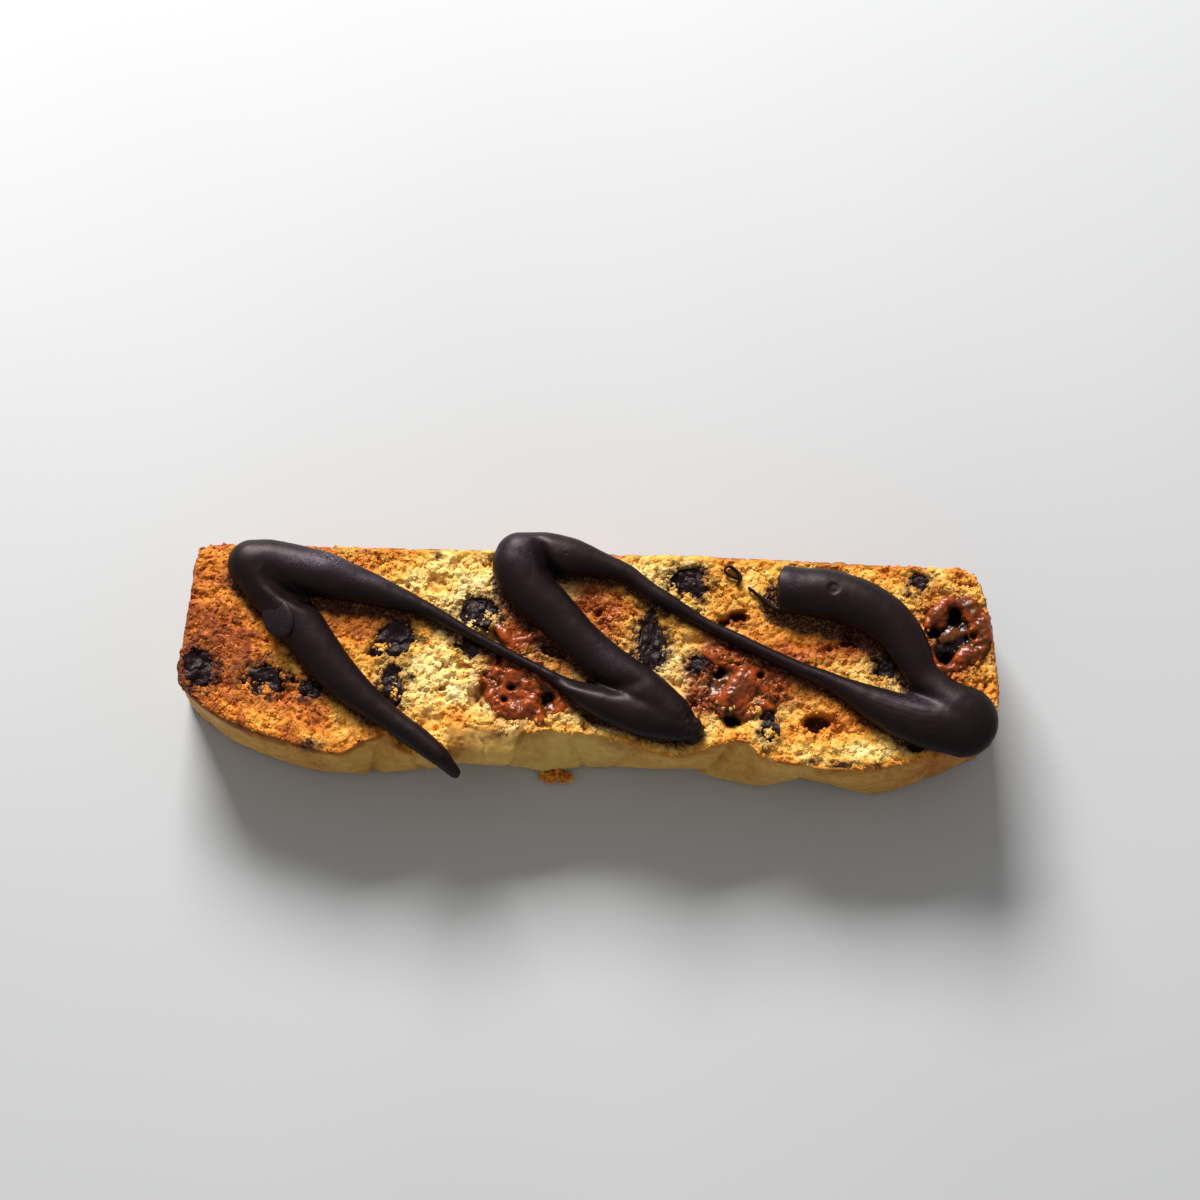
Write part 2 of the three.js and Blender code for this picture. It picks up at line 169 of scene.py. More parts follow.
# How toasted the upper face is: soft patches as (x, y, reach along X, reach along Y, strength).
TOAST_LEVEL = 0.42
TOAST_PATCHES = (
    (-62, 3, 16, 22, 0.42), (-66, 14, 6, 6, 0.1), (-40, -14, 12, 6, 0.12), (-42, 1, 6, 3, 0.12),
    (22, 10, 6, 4, 0.12), (-23, 12, 9, 6, -0.24), (-30, 2, 5, 4, 0.20), (-25, -5, 9, 7, -0.34),
    (-22, -10.5, 3, 2, 0.35), (-38, 15, 12, 2.5, 0.25), (2, 9, 7, 7, 0.25), (-4, -12, 8, 3, -0.1),
    (12, 14, 18, 4, -0.08), (14, -2, 5, 5, -0.2), (30, 12, 8, 5, -0.05), (36, 3, 10, 3.5, 0.3),
    (35, -2, 6, 4, 0.22), (28, -9, 7, 4, -0.08), (42, -10.2, 9, 3.6, 0.38), (45, -15.0, 12, 2.4, -0.16),
    (57, 14, 10, 5, 0.2), (66, 0, 5, 9, 0.18), (48, 3, 5, 4, 0.12), (-50, -11, 9, 5, 0.2),
    (30, 6, 7, 4, 0.18), (-38, -4, 8, 6, 0.14), (43, 3.4, 6, 2.5, 0.08), (-64, 8, 7, 9, 0.12),
    (-60, -4, 6, 6, 0.08), (-57, -3, 5, 5, 0.12), (-40, 4.2, 8, 3.0, 0.3),
)
# Crumb soaked brown by melted caramel; the patches just under the last stroke also stand for its shadow,
# as painted shade.
SOAKED_AND_SHADE_PATCHES = (
    (62, 5.5, 6.2, 7.2, 1.3), (25.5, -3, 6, 5.5, 0.8), (-11, -6, 6, 6, 0.75), (-12.5, 2, 5, 5, 0.95),
    (0, 10, 4.5, 5, 0.9), (4, 4, 4.5, 4, 0.65), (31, -1.5, 4.5, 4, 0.8), (39, 0.6, 5, 1.2, 0.55),
    (19, -1.6, 4, 2.5, 0.35), (-3, -4, 4, 3.5, 0.4), (-17, -3.4, 1.6, 4, 0.5), (36, -6.5, 4, 2, 0.3),
    (19.2, -6.4, 3.4, 3.0, 1.2), (43, 3.3, 5, 2.0, 0.8), (-5.8, -7.2, 2.6, 2.6, 0.8),
    (21.5, 0.6, 4.2, 2.8, 1.2), (31.2, -3.4, 3.2, 3.6, 1.1), (-15.6, -6.0, 3.0, 4.0, 0.6),
    (24.5, 7.4, 3.2, 2.2, 0.6), (-13.8, 9.0, 2.4, 2.0, 0.9), (46.6, 3.2, 4.4, 1.6, 0.7),
)
# Small burnt-sugar marks near the cut edge, and painted shade in holes, in dark pockets between strokes
# and under the last stroke.
BURNT_AND_SHADE_PATCHES = (
    (43.0, -17.3, 1.9, 0.7, 1.5), (38, -17.0, 1.2, 0.6, 1.2), (48.5, -17.3, 1.4, 0.5, 1.1),
    (-16, -14.2, 5, 1.3, 0.65), (-40.5, 16.9, 7, 0.7, 0.5), (-45.5, -16.6, 2.2, 0.9, 0.8),
    (35, 16.8, 3, 0.6, 0.4), (-8.5, 15.5, 3, 1.2, 0.4), (8, -14.4, 6, 0.9, 0.4),
    (-26.5, 16.9, 0.6, 1.0, 1.2), (-46.8, -16.9, 1.5, 0.8, 1.6), (50.8, -1.2, 1.6, 0.8, 0.9),
    (-56.5, -3.4, 2.2, 1.0, 0.6), (49.6, 1.2, 1.6, 2.0, 0.9), (39.1, -9.6, 2.0, 0.8, 1.0),
    (25.0, 7.7, 1.6, 0.8, 1.0), (62.2, 8.8, 2.0, 1.8, 1.3), (60.6, 1.8, 1.8, 1.4, 1.3),
    (22.4, -2.0, 1.4, 1.4, 1.2), (24.4, -9.8, 1.4, 1.2, 1.0), (-6.2, 0.6, 2.6, 1.5, 1.4),
    (-3.6, 2.8, 2.0, 1.6, 1.3), (-8.4, 3.6, 1.3, 2.2, 0.9), (-13.2, 9.4, 1.5, 1.8, 0.9),
    (-13.6, 12.8, 0.8, 1.6, 0.9), (19.5, -6.5, 2.4, 1.6, 0.5), (42.5, 5.6, 3.5, 0.9, 0.9),
    (46.6, 4.4, 2.6, 1.2, 1.0), (49.4, 3.0, 1.8, 1.6, 1.1), (-13.1, -5.8, 1.1, 1.1, 1.3),
    (-14.2, -7.9, 1.0, 1.0, 1.3), (-6.6, -7.4, 1.6, 1.4, 0.7), (29.2, -2.2, 1.1, 1.1, 1.0),
)
# Where the cut face isn't torn.
CALM_PATCHES = (
    (-25, -6, 7, 5, 0.5), (-22, 12, 7, 4, 0.5), (40.5, -15.0, 8, 3.0, 1), (50, -12, 5, 3, 0.7),
    (-36, -14, 6, 3, 0.5),
)
# Dark hollows and pale smooth pits in the upper face: (x, y, reach X, reach Y, depth).
HOLLOWS = (
    (39.1, -10.2, 2.4, 1.5, 3.6), (25.3, 7.8, 1.7, 1.0, 3.0), (22.8, 6.9, 1.1, 0.7, 2.6),
    (55.8, -13.4, 1.5, 1.3, 2.6), (30.6, -7.6, 1.0, 2.0, 2.6), (22.6, -8.4, 1.2, 1.0, 2.4),
    (-26.3, 11.5, 2.0, 1.6, 1.0), (-26.2, -12.1, 2.3, 2.0, 1.1), (-19.4, -8.0, 0.9, 2.0, 1.2),
    (-33.6, -12.2, 1.6, 1.2, 0.9), (-21.0, -2.3, 1.8, 0.9, 1.0), (-24.6, -6.1, 0.8, 0.6, 1.6),
    (17.5, 3.2, 2.4, 0.7, 0.7), (9.5, 8.6, 1.8, 1.4, 0.8), (-56.2, -7.0, 1.2, 1.3, 2.2),
    (58.0, 9.4, 1.0, 0.8, 1.0), (-36.5, -0.6, 1.3, 0.9, 1.6), (-17.2, 1.5, 1.1, 1.4, 0.6),
    (-5.8, 0.8, 2.2, 1.1, 2.2), (22.5, -1.9, 0.9, 0.8, 3.0), (24.4, -9.9, 1.3, 0.8, 2.8),
    (30.2, -9.6, 0.9, 0.9, 3.0), (-31.2, 11.3, 0.5, 0.4, 1.6), (-50.0, -5.6, 0.8, 0.7, 2.4),
    (44.0, 3.6, 1.2, 0.5, 1.6), (-55.0, 1.0, 1.2, 0.4, 1.8),
)
# Splits in the crust: X where each meets the upper and the lower face, its depth and half width.
CRUST_SPLITS = (
    (-34.6, -37.0, 1.2, 1.1), (-29.2, -28.0, 0.7, 0.7), (-10.6, -17.5, 1.3, 0.9),
    (-2.2, -1.0, 0.6, 0.8), (9.0, 4.0, 0.5, 0.7), (26.4, 17.8, 1.7, 1.3), (37.0, 36.5, 0.5, 1.6),
    (58.0, 59.0, 0.4, 1.2),
)
# Crumb that clings to the chunks: (x, y, reach X, reach Y, strength).
CLINGING_CRUMBS = (
    (-55.8, -7.6, 2.2, 1.1, 1), (16.4, 10.3, 1.1, 1.6, 1), (-17.3, 6.4, 1.2, 0.9, 1),
    (-35.6, 0.5, 1.5, 0.8, 1), (-32.6, -7.0, 0.8, 1.6, 1), (8.7, -1.6, 0.8, 2.2, 1),
    (50.8, -2.4, 1.5, 0.8, 1), (30.8, -12.0, 0.9, 1.1, 1), (54.6, 13.2, 1.0, 0.8, 0.9),
    (-29.4, 0.2, 1.4, 1.4, 1), (-20.4, 4.8, 1.2, 1.2, 1), (-16.4, 5.2, 1.0, 1.2, 1),
    (-31.0, -9.0, 1.0, 1.2, 1), (-58.2, -7.6, 1.4, 1.2, 1), (13.8, 12.2, 1.0, 1.2, 0.9),
)
# Chunks that were cut clean, with nothing clinging to them.
CLEAN_CUTS = ((-65.8, -4.3, 5.0, 6.0, 0.8),)
# Crumb that has fallen to the foot of the crust: its middle and its half sizes.
FOOT_CRUMB = ((-5.3, -18.1, 0.8), (2.9, 0.9, 1.0))
# Kinds of loose grain: the name, the number, the least and the greatest radius, and whether it
# lies on the upper face.
GRAIN_KINDS = (
    ("fine_grains", 4000, 0.16, 0.26, True),
    ("crumb_grains", 8000, 0.26, 0.42, True),
    ("coarse_grains", 4400, 0.38, 0.62, True),
    ("lower_grains", 5200, 0.24, 0.46, False),
)

# How much of its radius a grain is sunk, and how far it is shifted to either side at most.
GRAIN_SINK = 0.8
GRAIN_SHIFT = 0.15

# Openings in the cut faces as shares of the inclusions' boxes, and how far the stained halo
# round the chocolate reaches past them.
CHOCOLATE_OPENING = 0.9
CARAMEL_OPENING = 0.74
HALO_WIDTH = 0.5
# Where the caramel has opened into dark holes of one depth, as (x, y, reach).
HOLE_DEPTH = 2.0
CARAMEL_HOLES = (
    (62.2, 9.2, 1.1), (60.6, 1.8, 1.0), (65.2, 5.8, 0.6), (58.4, 6.4, 0.6), (22.4, -2.0, 0.7),
    (24.4, -9.8, 1.0), (29.2, -2.2, 0.5), (-13.1, -5.8, 0.5), (-14.2, -7.9, 0.42), (-6.6, -7.4, 0.9),
)
# Folds of caramel: for each inclusion how far its strands stand over the face, and their routes
# as (x, y, width).
CARAMEL_FOLDS = {
    "caramel_chunk_01": (
        (0.35, ((57.4, 7.2, 2.4), (59.1, 9.1, 4.2), (61.2, 11.5, 2.6), (63.7, 10.7, 4.4),
                (66.0, 9.2, 3.3), (66.4, 6.4, 4.6), (66.8, 3.8, 2.9), (64.4, 2.4, 4.0),
                (62.0, 0.3, 2.2), (59.5, -0.5, 3.6), (58.1, 1.8, 2.3))),
        (0.7, ((61.0, 0.8, 0.9), (62.8, 2.2, 1.3), (64.6, 3.8, 1.2), (66.2, 4.6, 0.9))),
        (0.7, ((63.9, 9.4, 1.0), (65.6, 7.8, 1.5), (67.4, 7.0, 1.0))),
        (-0.9, ((58.4, 5.2, 2.6), (60.8, 5.5, 4.2), (63.2, 5.4, 3.0))),
    ),
    "caramel_chunk_02": (
        (-0.1, ((26.8, -1.2, 4.4), (26.2, -3.8, 6.0), (24.8, -6.2, 6.2), (23.6, -7.4, 5.0))),
        (0.4, ((21.2, -7.9, 1.3), (23.4, -9.1, 1.6), (25.6, -8.6, 1.7), (28.4, -7.3, 1.4),
               (31.4, -7.8, 1.1))),
        (0.3, ((19.8, 1.4, 2.4), (21.8, 0.4, 3.0), (23.8, -1.0, 2.0))),
        (0.2, ((28.8, -1.6, 1.4), (29.8, -4.2, 2.2), (31.8, -6.2, 1.6))),
    ),
    "caramel_chunk_03": (
        (0.1, ((-16.0, -3.6, 3.2), (-13.4, -3.8, 4.2), (-10.4, -4.8, 4.2), (-8.8, -6.0, 3.2))),
        (0.3, ((-16.2, -7.0, 3.0), (-14.6, -9.4, 3.4), (-12.0, -9.6, 3.8), (-9.6, -9.4, 3.8),
               (-8.0, -10.8, 3.0))),
        (0.2, ((-11.2, -6.6, 2.4), (-9.0, -7.8, 3.0))),
        (0.5, ((-12.8, 2.2, 2.0), (-10.2, 2.9, 2.4), (-8.0, 4.2, 1.8))),
        (0.3, ((-15.6, 4.8, 2.2), (-14.0, 2.6, 2.6), (-12.8, 0.8, 2.0))),
    ),
}

# Colours as six hex digits of display red, green and blue. In the lists each has its place, from 0
# to 1: from pale to toasted crumb, from pale to baked crust, and from high to deep caramel, whose
# deep end is painted shade.
CRUMB_COLOURS = ((0.0, "F0DA9C"), (0.22, "E9C676"), (0.45, "DFA644"), (0.68, "D08127"),
                 (0.86, "AA5A17"), (1.0, "7C380C"))
CRUST_COLOURS = ((0.0, "DEB964"), (0.3, "CA9A4C"), (0.6, "AA6822"), (1.0, "6C360C"))
CARAMEL_COLOURS_WITH_SHADE = ((0.0, "8E3D0E"), (0.2, "612505"), (0.42, "532D09"), (0.62, "260B02"),
                   (0.85, "0A0302"))
# Serves caramel soak, and painted shade under the last stroke.
SOAKED_AND_SHADE_COLOUR = "84360A"
# Painted shade: the tint that deepens the crumb's colour in its pits.
HOLLOW_SHADE_TINT = "F4C474"
# Serves real stains and burnt marks, and painted shade in deep places, holes and in front of the
# strokes.
STAIN_AND_SHADE_COLOUR = "38120A"
# Serves real bloom and a painted violet-grey sheen.
BLOOM_AND_SHEEN_COLOUR = "5C5468"
FLOOR_COLOURS = ((0.3, "B2B4B6"), (0.7, "B8BABC"))


def linear(code):
    """The linear-light red, green and blue of a display colour written as six hex digits."""
    shares = [int(code[i:i + 2], 16) / 255 for i in (0, 2, 4)]
    return tuple(s / 12.92 if s <= 0.04045 else ((s + 0.055) / 1.055) ** 2.4 for s in shares)


# ---------------------------------------------------------------------------------------------
# Fields: random values that vary smoothly or grain by grain through space
# ---------------------------------------------------------------------------------------------

def cell_share(cells, seed):
    """A random share from 0 to 1 for each whole-number cell: its three numbers are multiplied by
    large odd numbers, and the bits of their sum are mixed."""
    numbers = cells.astype(np.int64).astype(np.uint32)
    mixed = numbers[..., 0] * np.uint32(0x8DA6B343) ^ numbers[..., 1] * np.uint32(0xD8163841)
    mixed = mixed ^ numbers[..., 2] * np.uint32(0xCB1AB31F)
    mixed = mixed ^ np.uint32((seed * 0x9E3779B9) & 0xFFFFFFFF)
    for shift, factor in ((15, 0x2C1B3C6D), (12, 0x297A2D39), (15, 1)):
        mixed = (mixed ^ (mixed >> np.uint32(shift))) * np.uint32(factor)
    return mixed / 2.0 ** 32


def soft_noise(points, size, seed):
    """Noise from -1 to 1: random values at the corners of cubes of the given size, blended
    between the corners by 3t² - 2t³."""
    scaled = points / size
    base = np.floor(scaled)
    t = scaled - base
    t = t * t * (3 - 2 * t)
    total = np.zeros(len(points))
    for corner in product((0, 1), repeat=3):
        weight = np.prod(np.where(np.array(corner) == 1, t, 1 - t), axis=1)
        total += weight * cell_share(base + corner, seed)
    return 2 * total - 1


def layered_noise(points, size, seed, layers=3):
    """Soft noise summed over layers, each half the size and half the strength of the last."""
    strengths = [0.5 ** k for k in range(layers)]
    total = sum(s * soft_noise(points, size * s, seed + k) for k, s in enumerate(strengths))
    return total / sum(strengths) * 1.5


def nearest_seed(points, size, seed):
    """The distances, in cells, from each point to the nearest and the second nearest of the seeds
    that are scattered one to a cubic cell of the given size, and the nearest one's own share."""
    scaled = points / size
    base = np.floor(scaled)
    nearest = np.full(len(points), 9.0)
    second = np.full(len(points), 9.0)
    chosen = np.zeros(len(points))
    for step in product((-1, 0, 1), repeat=3):
        cell = base + step
        spot = cell + np.stack([cell_share(cell, seed + axis) for axis in range(3)], axis=1)
        distance = np.linalg.norm(spot - scaled, axis=1)
        closer = distance < nearest
        second = np.where(closer, nearest, np.minimum(second, distance))
        nearest = np.where(closer, distance, nearest)
        chosen = np.where(closer, cell_share(cell, seed + 7), chosen)
    return nearest, second, chosen


def smooth(start, end, values):
    """0 before the start and 1 past the end, and 3t² - 2t³ between them."""
    t = np.clip((values - start) / (end - start), 0, 1)
    return t * t * (3 - 2 * t)


def dome(distance, radius):
    """A round hill: 1 at its middle and 0 from its radius out, as the height of a half ball."""
    return np.sqrt(np.clip(1 - (distance / radius) ** 2, 0, 1))


def line_distance(points, line):
    """The level distance from each point to a line through (x, y, value) points, and the value
    at the nearest place of the line."""
    nearest = np.full(len(points), 1e9)
    value = np.zeros(len(points))
    knots = np.array(line, dtype=float)
    for start, end in zip(knots[:-1], knots[1:]):
        span = end[:2] - start[:2]
        t = np.clip((points[:, :2] - start[:2]) @ span / (span @ span), 0, 1)
        away = np.linalg.norm(points[:, :2] - start[:2] - t[:, None] * span, axis=1)
        value = np.where(away < nearest, start[2] + t * (end[2] - start[2]), value)
        nearest = np.minimum(nearest, away)
    return nearest, value


def in_upper_half(points):
    """Whether each point lies in the upper half of the slice."""
    return points[:, 2] > THICKNESS / 2


def oval_distance(points, middle, reach):
    """The level distance from a middle, in units of the reach along X and the reach along Y."""
    return np.hypot((points[:, 0] - middle[0]) / reach[0], (points[:, 1] - middle[1]) / reach[1])


def patches(points, spots):
    """The sum of soft round patches: each is its strength times exp(-q²), where q is the distance
    from its middle in units of its reach."""
    total = np.zeros(len(points))
    for x, y, reach_x, reach_y, strength in spots:
        q = ((points[:, 0] - x) / reach_x) ** 2 + ((points[:, 1] - y) / reach_y) ** 2
        total += strength * np.exp(-q)
    return total


# ---------------------------------------------------------------------------------------------
# Meshes
# ---------------------------------------------------------------------------------------------

def build_mesh(name, points, faces, values=None, smooth_faces=True):
    """A mesh object from points in millimetres, face arrays of three or four columns, and values
    that are kept at the points under their names."""
    mesh = bpy.data.meshes.new(name)
    mesh.vertices.add(len(points))
    mesh.vertices.foreach_set("co", (points * MM).astype(np.float32).ravel())
    corners = np.concatenate([f.ravel() for f in faces]).astype(np.int32)
    sizes = np.concatenate([np.full(len(f), f.shape[1]) for f in faces])
    starts = np.concatenate([[0], np.cumsum(sizes)[:-1]]).astype(np.int32)
    mesh.loops.add(len(corners))
    mesh.loops.foreach_set("vertex_index", corners)
    mesh.polygons.add(len(sizes))
    mesh.polygons.foreach_set("loop_start", starts)
    mesh.update(calc_edges=True)
    mesh.validate()
    mesh.polygons.foreach_set("use_smooth", np.full(len(mesh.polygons), smooth_faces))
    for key, numbers in (values or {}).items():
        layer = mesh.attributes.new(key, 'FLOAT', 'POINT')
        layer.data.foreach_set("value", numbers.astype(np.float32))
    piece = bpy.data.objects.new(name, mesh)
    bpy.context.scene.collection.objects.link(piece)
    return piece


def read_array(items, key, columns=1, kind=np.float64):
    """One value of each of a mesh's items, as an array with a row for each item."""
    flat = np.empty(len(items) * columns, dtype=kind)
    items.foreach_get(key, flat)
    return flat.reshape(-1, columns) if columns > 1 else flat


def finish_piece(piece, material, replaced=()):
    """Gives a piece its material and its place in the frame."""
    piece.data.materials.append(material)
    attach(piece, "root")
    if replaced:
        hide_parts(*replaced)


def point_normals(points, faces):
    """The outward direction at each point: the area-weighted mean of its faces' normals, each
    the cross product of the face's diagonals or sides."""
    total = np.zeros_like(points)
    for f in faces:
        last = points[f[:, 3]] if f.shape[1] == 4 else points[f[:, 0]]
        normal = np.cross(points[f[:, 2]] - points[f[:, 0]], last - points[f[:, 1]])
        for column in range(f.shape[1]):
            for axis in range(3):
                total[:, axis] += np.bincount(f[:, column], normal[:, axis], len(points))
    return total / np.maximum(np.linalg.norm(total, axis=1, keepdims=True), 1e-12)


def ball_grid(rings, around):
    """Unit directions over a ball, from the lower pole to the upper one, and the faces between
    them: rings of quads, closed by a fan at each pole."""
    tilt = np.linspace(-np.pi / 2, np.pi / 2, rings + 1)[1:-1]
    turn = np.linspace(0, 2 * np.pi, around, endpoint=False)
    tilt_grid, turn_grid = np.meshgrid(tilt, turn, indexing="ij")
    middle = np.stack([np.cos(tilt_grid) * np.cos(turn_grid), np.cos(tilt_grid) * np.sin(turn_grid),
                       np.sin(tilt_grid)], axis=-1).reshape(-1, 3)
    directions = np.concatenate([middle, [(0, 0, -1), (0, 0, 1)]])
    return directions, tube_faces(rings - 1, around)


def tube_faces(count, around):
    """The faces of a closed tube of rings: quads between neighbouring rings, and a fan from each
    end ring to its own pole. The poles are the two points after the rings."""
    ring = np.arange(count - 1)[:, None] * around
    k = np.arange(around)[None, :]
    after = (k + 1) % around
    quads = np.stack([ring + k, ring + after, ring + around + after, ring + around + k], axis=-1)
    k = np.arange(around)
    after = (k + 1) % around
    top = (count - 1) * around
    start_fan = np.stack([after, k, np.full(around, count * around)], axis=1)
    end_fan = np.stack([top + k, top + after, np.full(around, count * around + 1)], axis=1)
    return [quads.reshape(-1, 4), start_fan, end_fan]


# ---------------------------------------------------------------------------------------------
# Materials
# ---------------------------------------------------------------------------------------------

def set_sockets(node, constants):
    """Sets a node's own sockets to constants, by name."""
    for key, value in constants.items():
        node.inputs[key].default_value = value


def add_node(tree, kind, sockets=None, **values):
    """A node with its own settings by name, and its inputs' constants by socket name."""
    node = tree.nodes.new(kind)
    set_sockets(node, sockets or {})
    for key, value in values.items():
        setattr(node, key, value)
    return node


def value_at(tree, name):
    """The socket of a value that is kept at the mesh's points."""
    return add_node(tree, "ShaderNodeAttribute", attribute_name=name).outputs["Fac"]


def maths(tree, operation, first, second=0.0, clamp=False):
    """One sum on two sockets or numbers."""
    node = add_node(tree, "ShaderNodeMath", operation=operation, use_clamp=clamp)
    for socket, value in zip(node.inputs, (first, second)):
        if isinstance(value, bpy.types.NodeSocket):
            tree.links.new(value, socket)
        else:
            socket.default_value = value
    return node.outputs[0]


def centred(tree, noise, strength):
    """A noise from 0 to 1 as a change of up to half the strength either way."""
    return maths(tree, 'MULTIPLY', maths(tree, 'SUBTRACT', noise, 0.5), strength)


def blend(tree, amount, first, second, mode='MIX'):
    """Two colours mixed by an amount. A colour is a socket or a linear red, green and blue."""
    node = add_node(tree, "ShaderNodeMix", data_type='RGBA', blend_type=mode)
    sockets = (node.inputs[0], node.inputs[6], node.inputs[7])
    for socket, value in zip(sockets, (amount, first, second)):
        if isinstance(value, bpy.types.NodeSocket):
            tree.links.new(value, socket)
        elif isinstance(value, tuple):
            socket.default_value = (*value, 1.0)
        else:
            socket.default_value = value
    return node.outputs[2]


def ramp(tree, amount, stops):
    """A colour ramp through (place, display colour) stops."""
    node = add_node(tree, "ShaderNodeValToRGB")
    tree.links.new(amount, node.inputs["Fac"])
    elements = node.color_ramp.elements
    elements[0].position, elements[-1].position = stops[0][0], stops[-1][0]
    elements[0].color = (*linear(stops[0][1]), 1)
    elements[-1].color = (*linear(stops[-1][1]), 1)
    for place, code in stops[1:-1]:
        elements.new(place).color = (*linear(code), 1)
    return node.outputs["Color"]


def grain_group():
    """A node group of fine unevenness in the object's own space: a fine and a coarse noise from
    0 to 1, and small specks, each at a size given in millimetres."""
    if "Fine grain" in bpy.data.node_groups:
        return bpy.data.node_groups["Fine grain"]
    group = bpy.data.node_groups.new("Fine grain", 'ShaderNodeTree')
    for name, default in (("Fine size", 0.4), ("Coarse size", 2.0), ("Speck size", 0.8)):
        socket = group.interface.new_socket(name, in_out='INPUT', socket_type='NodeSocketFloat')
        socket.default_value = default
    for name in ("Fine", "Coarse", "Speck"):
        group.interface.new_socket(name, in_out='OUTPUT', socket_type='NodeSocketFloat')
    inlet = group.nodes.new("NodeGroupInput")
    outlet = group.nodes.new("NodeGroupOutput")
    place = group.nodes.new("ShaderNodeTexCoord").outputs["Object"]
    for index, (kind, detail) in enumerate((("Noise", 2.0), ("Noise", 3.0), ("Voronoi", 0.0))):
        texture = group.nodes.new(f"ShaderNodeTex{kind}")
        texture.inputs["Detail"].default_value = detail
        group.links.new(place, texture.inputs["Vector"])
        scale = maths(group, 'DIVIDE', 1.0 / MM, inlet.outputs[index])
        group.links.new(scale, texture.inputs["Scale"])
        output = texture.outputs["Fac" if kind == "Noise" else "Distance"]
        group.links.new(output, outlet.inputs[index])
    return group


def new_material(name, fine, coarse, speck):
    """An empty Principled material, and the grain group's outputs at its own sizes."""
    material = bpy.data.materials.new(name)
    material.use_nodes = True
    tree = material.node_tree
    shader = tree.nodes["Principled BSDF"]
    grain = add_node(tree, "ShaderNodeGroup", node_tree=grain_group())
    set_sockets(grain, {"Fine size": fine, "Coarse size": coarse, "Speck size": speck})
    return material, tree, shader, grain.outputs


def add_bump(tree, shader, height, strength, distance):
    """A bump of a given depth in millimetres."""
    bump = add_node(tree, "ShaderNodeBump", sockets={"Strength": strength, "Distance": distance * MM})
    tree.links.new(height, bump.inputs["Height"])
    tree.links.new(bump.outputs["Normal"], shader.inputs["Normal"])


def crumb_material():
    """Toasted crumb and smooth crust in one: the colour runs from cream through gold and orange
    to brown with how toasted each place is, deepens in hollows as painted shade, and turns tan on the
    crust."""
    if "Toasted crumb" in bpy.data.materials:
        return bpy.data.materials["Toasted crumb"]
    material, tree, shader, grain = new_material("Toasted crumb", 0.45, 1.3, 0.6)
    fine = centred(tree, grain["Fine"], 0.2)
    uneven = maths(tree, 'ADD', fine, centred(tree, grain["Coarse"], 0.5))
    toast = maths(tree, 'ADD', value_at(tree, "toast"), uneven, clamp=True)
    spread = maths(tree, 'MULTIPLY', uneven, 0.9)
    baked = maths(tree, 'ADD', value_at(tree, "baked"), spread, clamp=True)
    colour = blend(tree, value_at(tree, "crust"), ramp(tree, toast, CRUMB_COLOURS),
                   ramp(tree, baked, CRUST_COLOURS))
    colour = blend(tree, value_at(tree, "soak_and_shade"), colour, linear(SOAKED_AND_SHADE_COLOUR))
    # Painted shade: a warm tint deepens the colour in the crumb's hollows.
    hollow = maths(tree, 'MULTIPLY', value_at(tree, "hollow"), 0.65, clamp=True)
    deeper = blend(tree, 1.0, colour, linear(HOLLOW_SHADE_TINT), 'MULTIPLY')
    colour = blend(tree, hollow, colour, deeper)
    ragged = maths(tree, 'ADD', grain["Fine"], 0.45)
    # The stain darkens with real chocolate stains and burnt marks, and with painted shade in deep
    # places, holes and in front of the strokes.
    stain_and_shade = maths(tree, 'MULTIPLY', value_at(tree, "stain_and_shade"), ragged)
    colour = blend(tree, stain_and_shade, colour, linear(STAIN_AND_SHADE_COLOUR))
    tree.links.new(colour, shader.inputs["Base Color"])
    dull = maths(tree, 'SUBTRACT', 0.66, maths(tree, 'MULTIPLY', value_at(tree, "soak_and_shade"), 0.4))
    sparkle = maths(tree, 'MULTIPLY', fine, 4.0)
    tree.links.new(maths(tree, 'ADD', dull, sparkle), shader.inputs["Roughness"])
    set_sockets(shader, {"Specular IOR Level": 0.24})
    open_crumb = maths(tree, 'SUBTRACT', 1.45, value_at(tree, "crust"))
    height = maths(tree, 'ADD', grain["Fine"], grain["Speck"])
    add_bump(tree, shader, maths(tree, 'MULTIPLY', height, open_crumb), 0.42, 0.18)
    return material


def chocolate_material(name, colour, lighter, roughness, bump_depth):
    """Set dark chocolate: almost black-brown, a little lighter in soft patches, and speckled
    violet-grey where it has bloomed and where a sheen is painted on it. Its two colours are linear red,
    green and blue."""
    if name in bpy.data.materials:
        return bpy.data.materials[name]
    material, tree, shader, grain = new_material(name, 0.4, 3.5, 0.5)
    mottled = blend(tree, grain["Coarse"], colour, lighter)
    above = maths(tree, 'SUBTRACT', grain["Fine"], 0.35)
    speck = maths(tree, 'MULTIPLY', above, 2.2, clamp=True)
    bloom_and_sheen = maths(tree, 'MULTIPLY', value_at(tree, "bloom_and_sheen"), speck)
    bloomed = blend(tree, bloom_and_sheen, mottled, linear(BLOOM_AND_SHEEN_COLOUR))
    tree.links.new(bloomed, shader.inputs["Base Color"])
    uneven = centred(tree, grain["Fine"], 0.16)
    tree.links.new(maths(tree, 'ADD', uneven, roughness), shader.inputs["Roughness"])
    set_sockets(shader, {"Specular IOR Level": 0.2, "Specular Tint": (1.0, 0.8, 0.84, 1.0)})
    add_bump(tree, shader, grain["Fine"], 0.5, bump_depth)
    return material


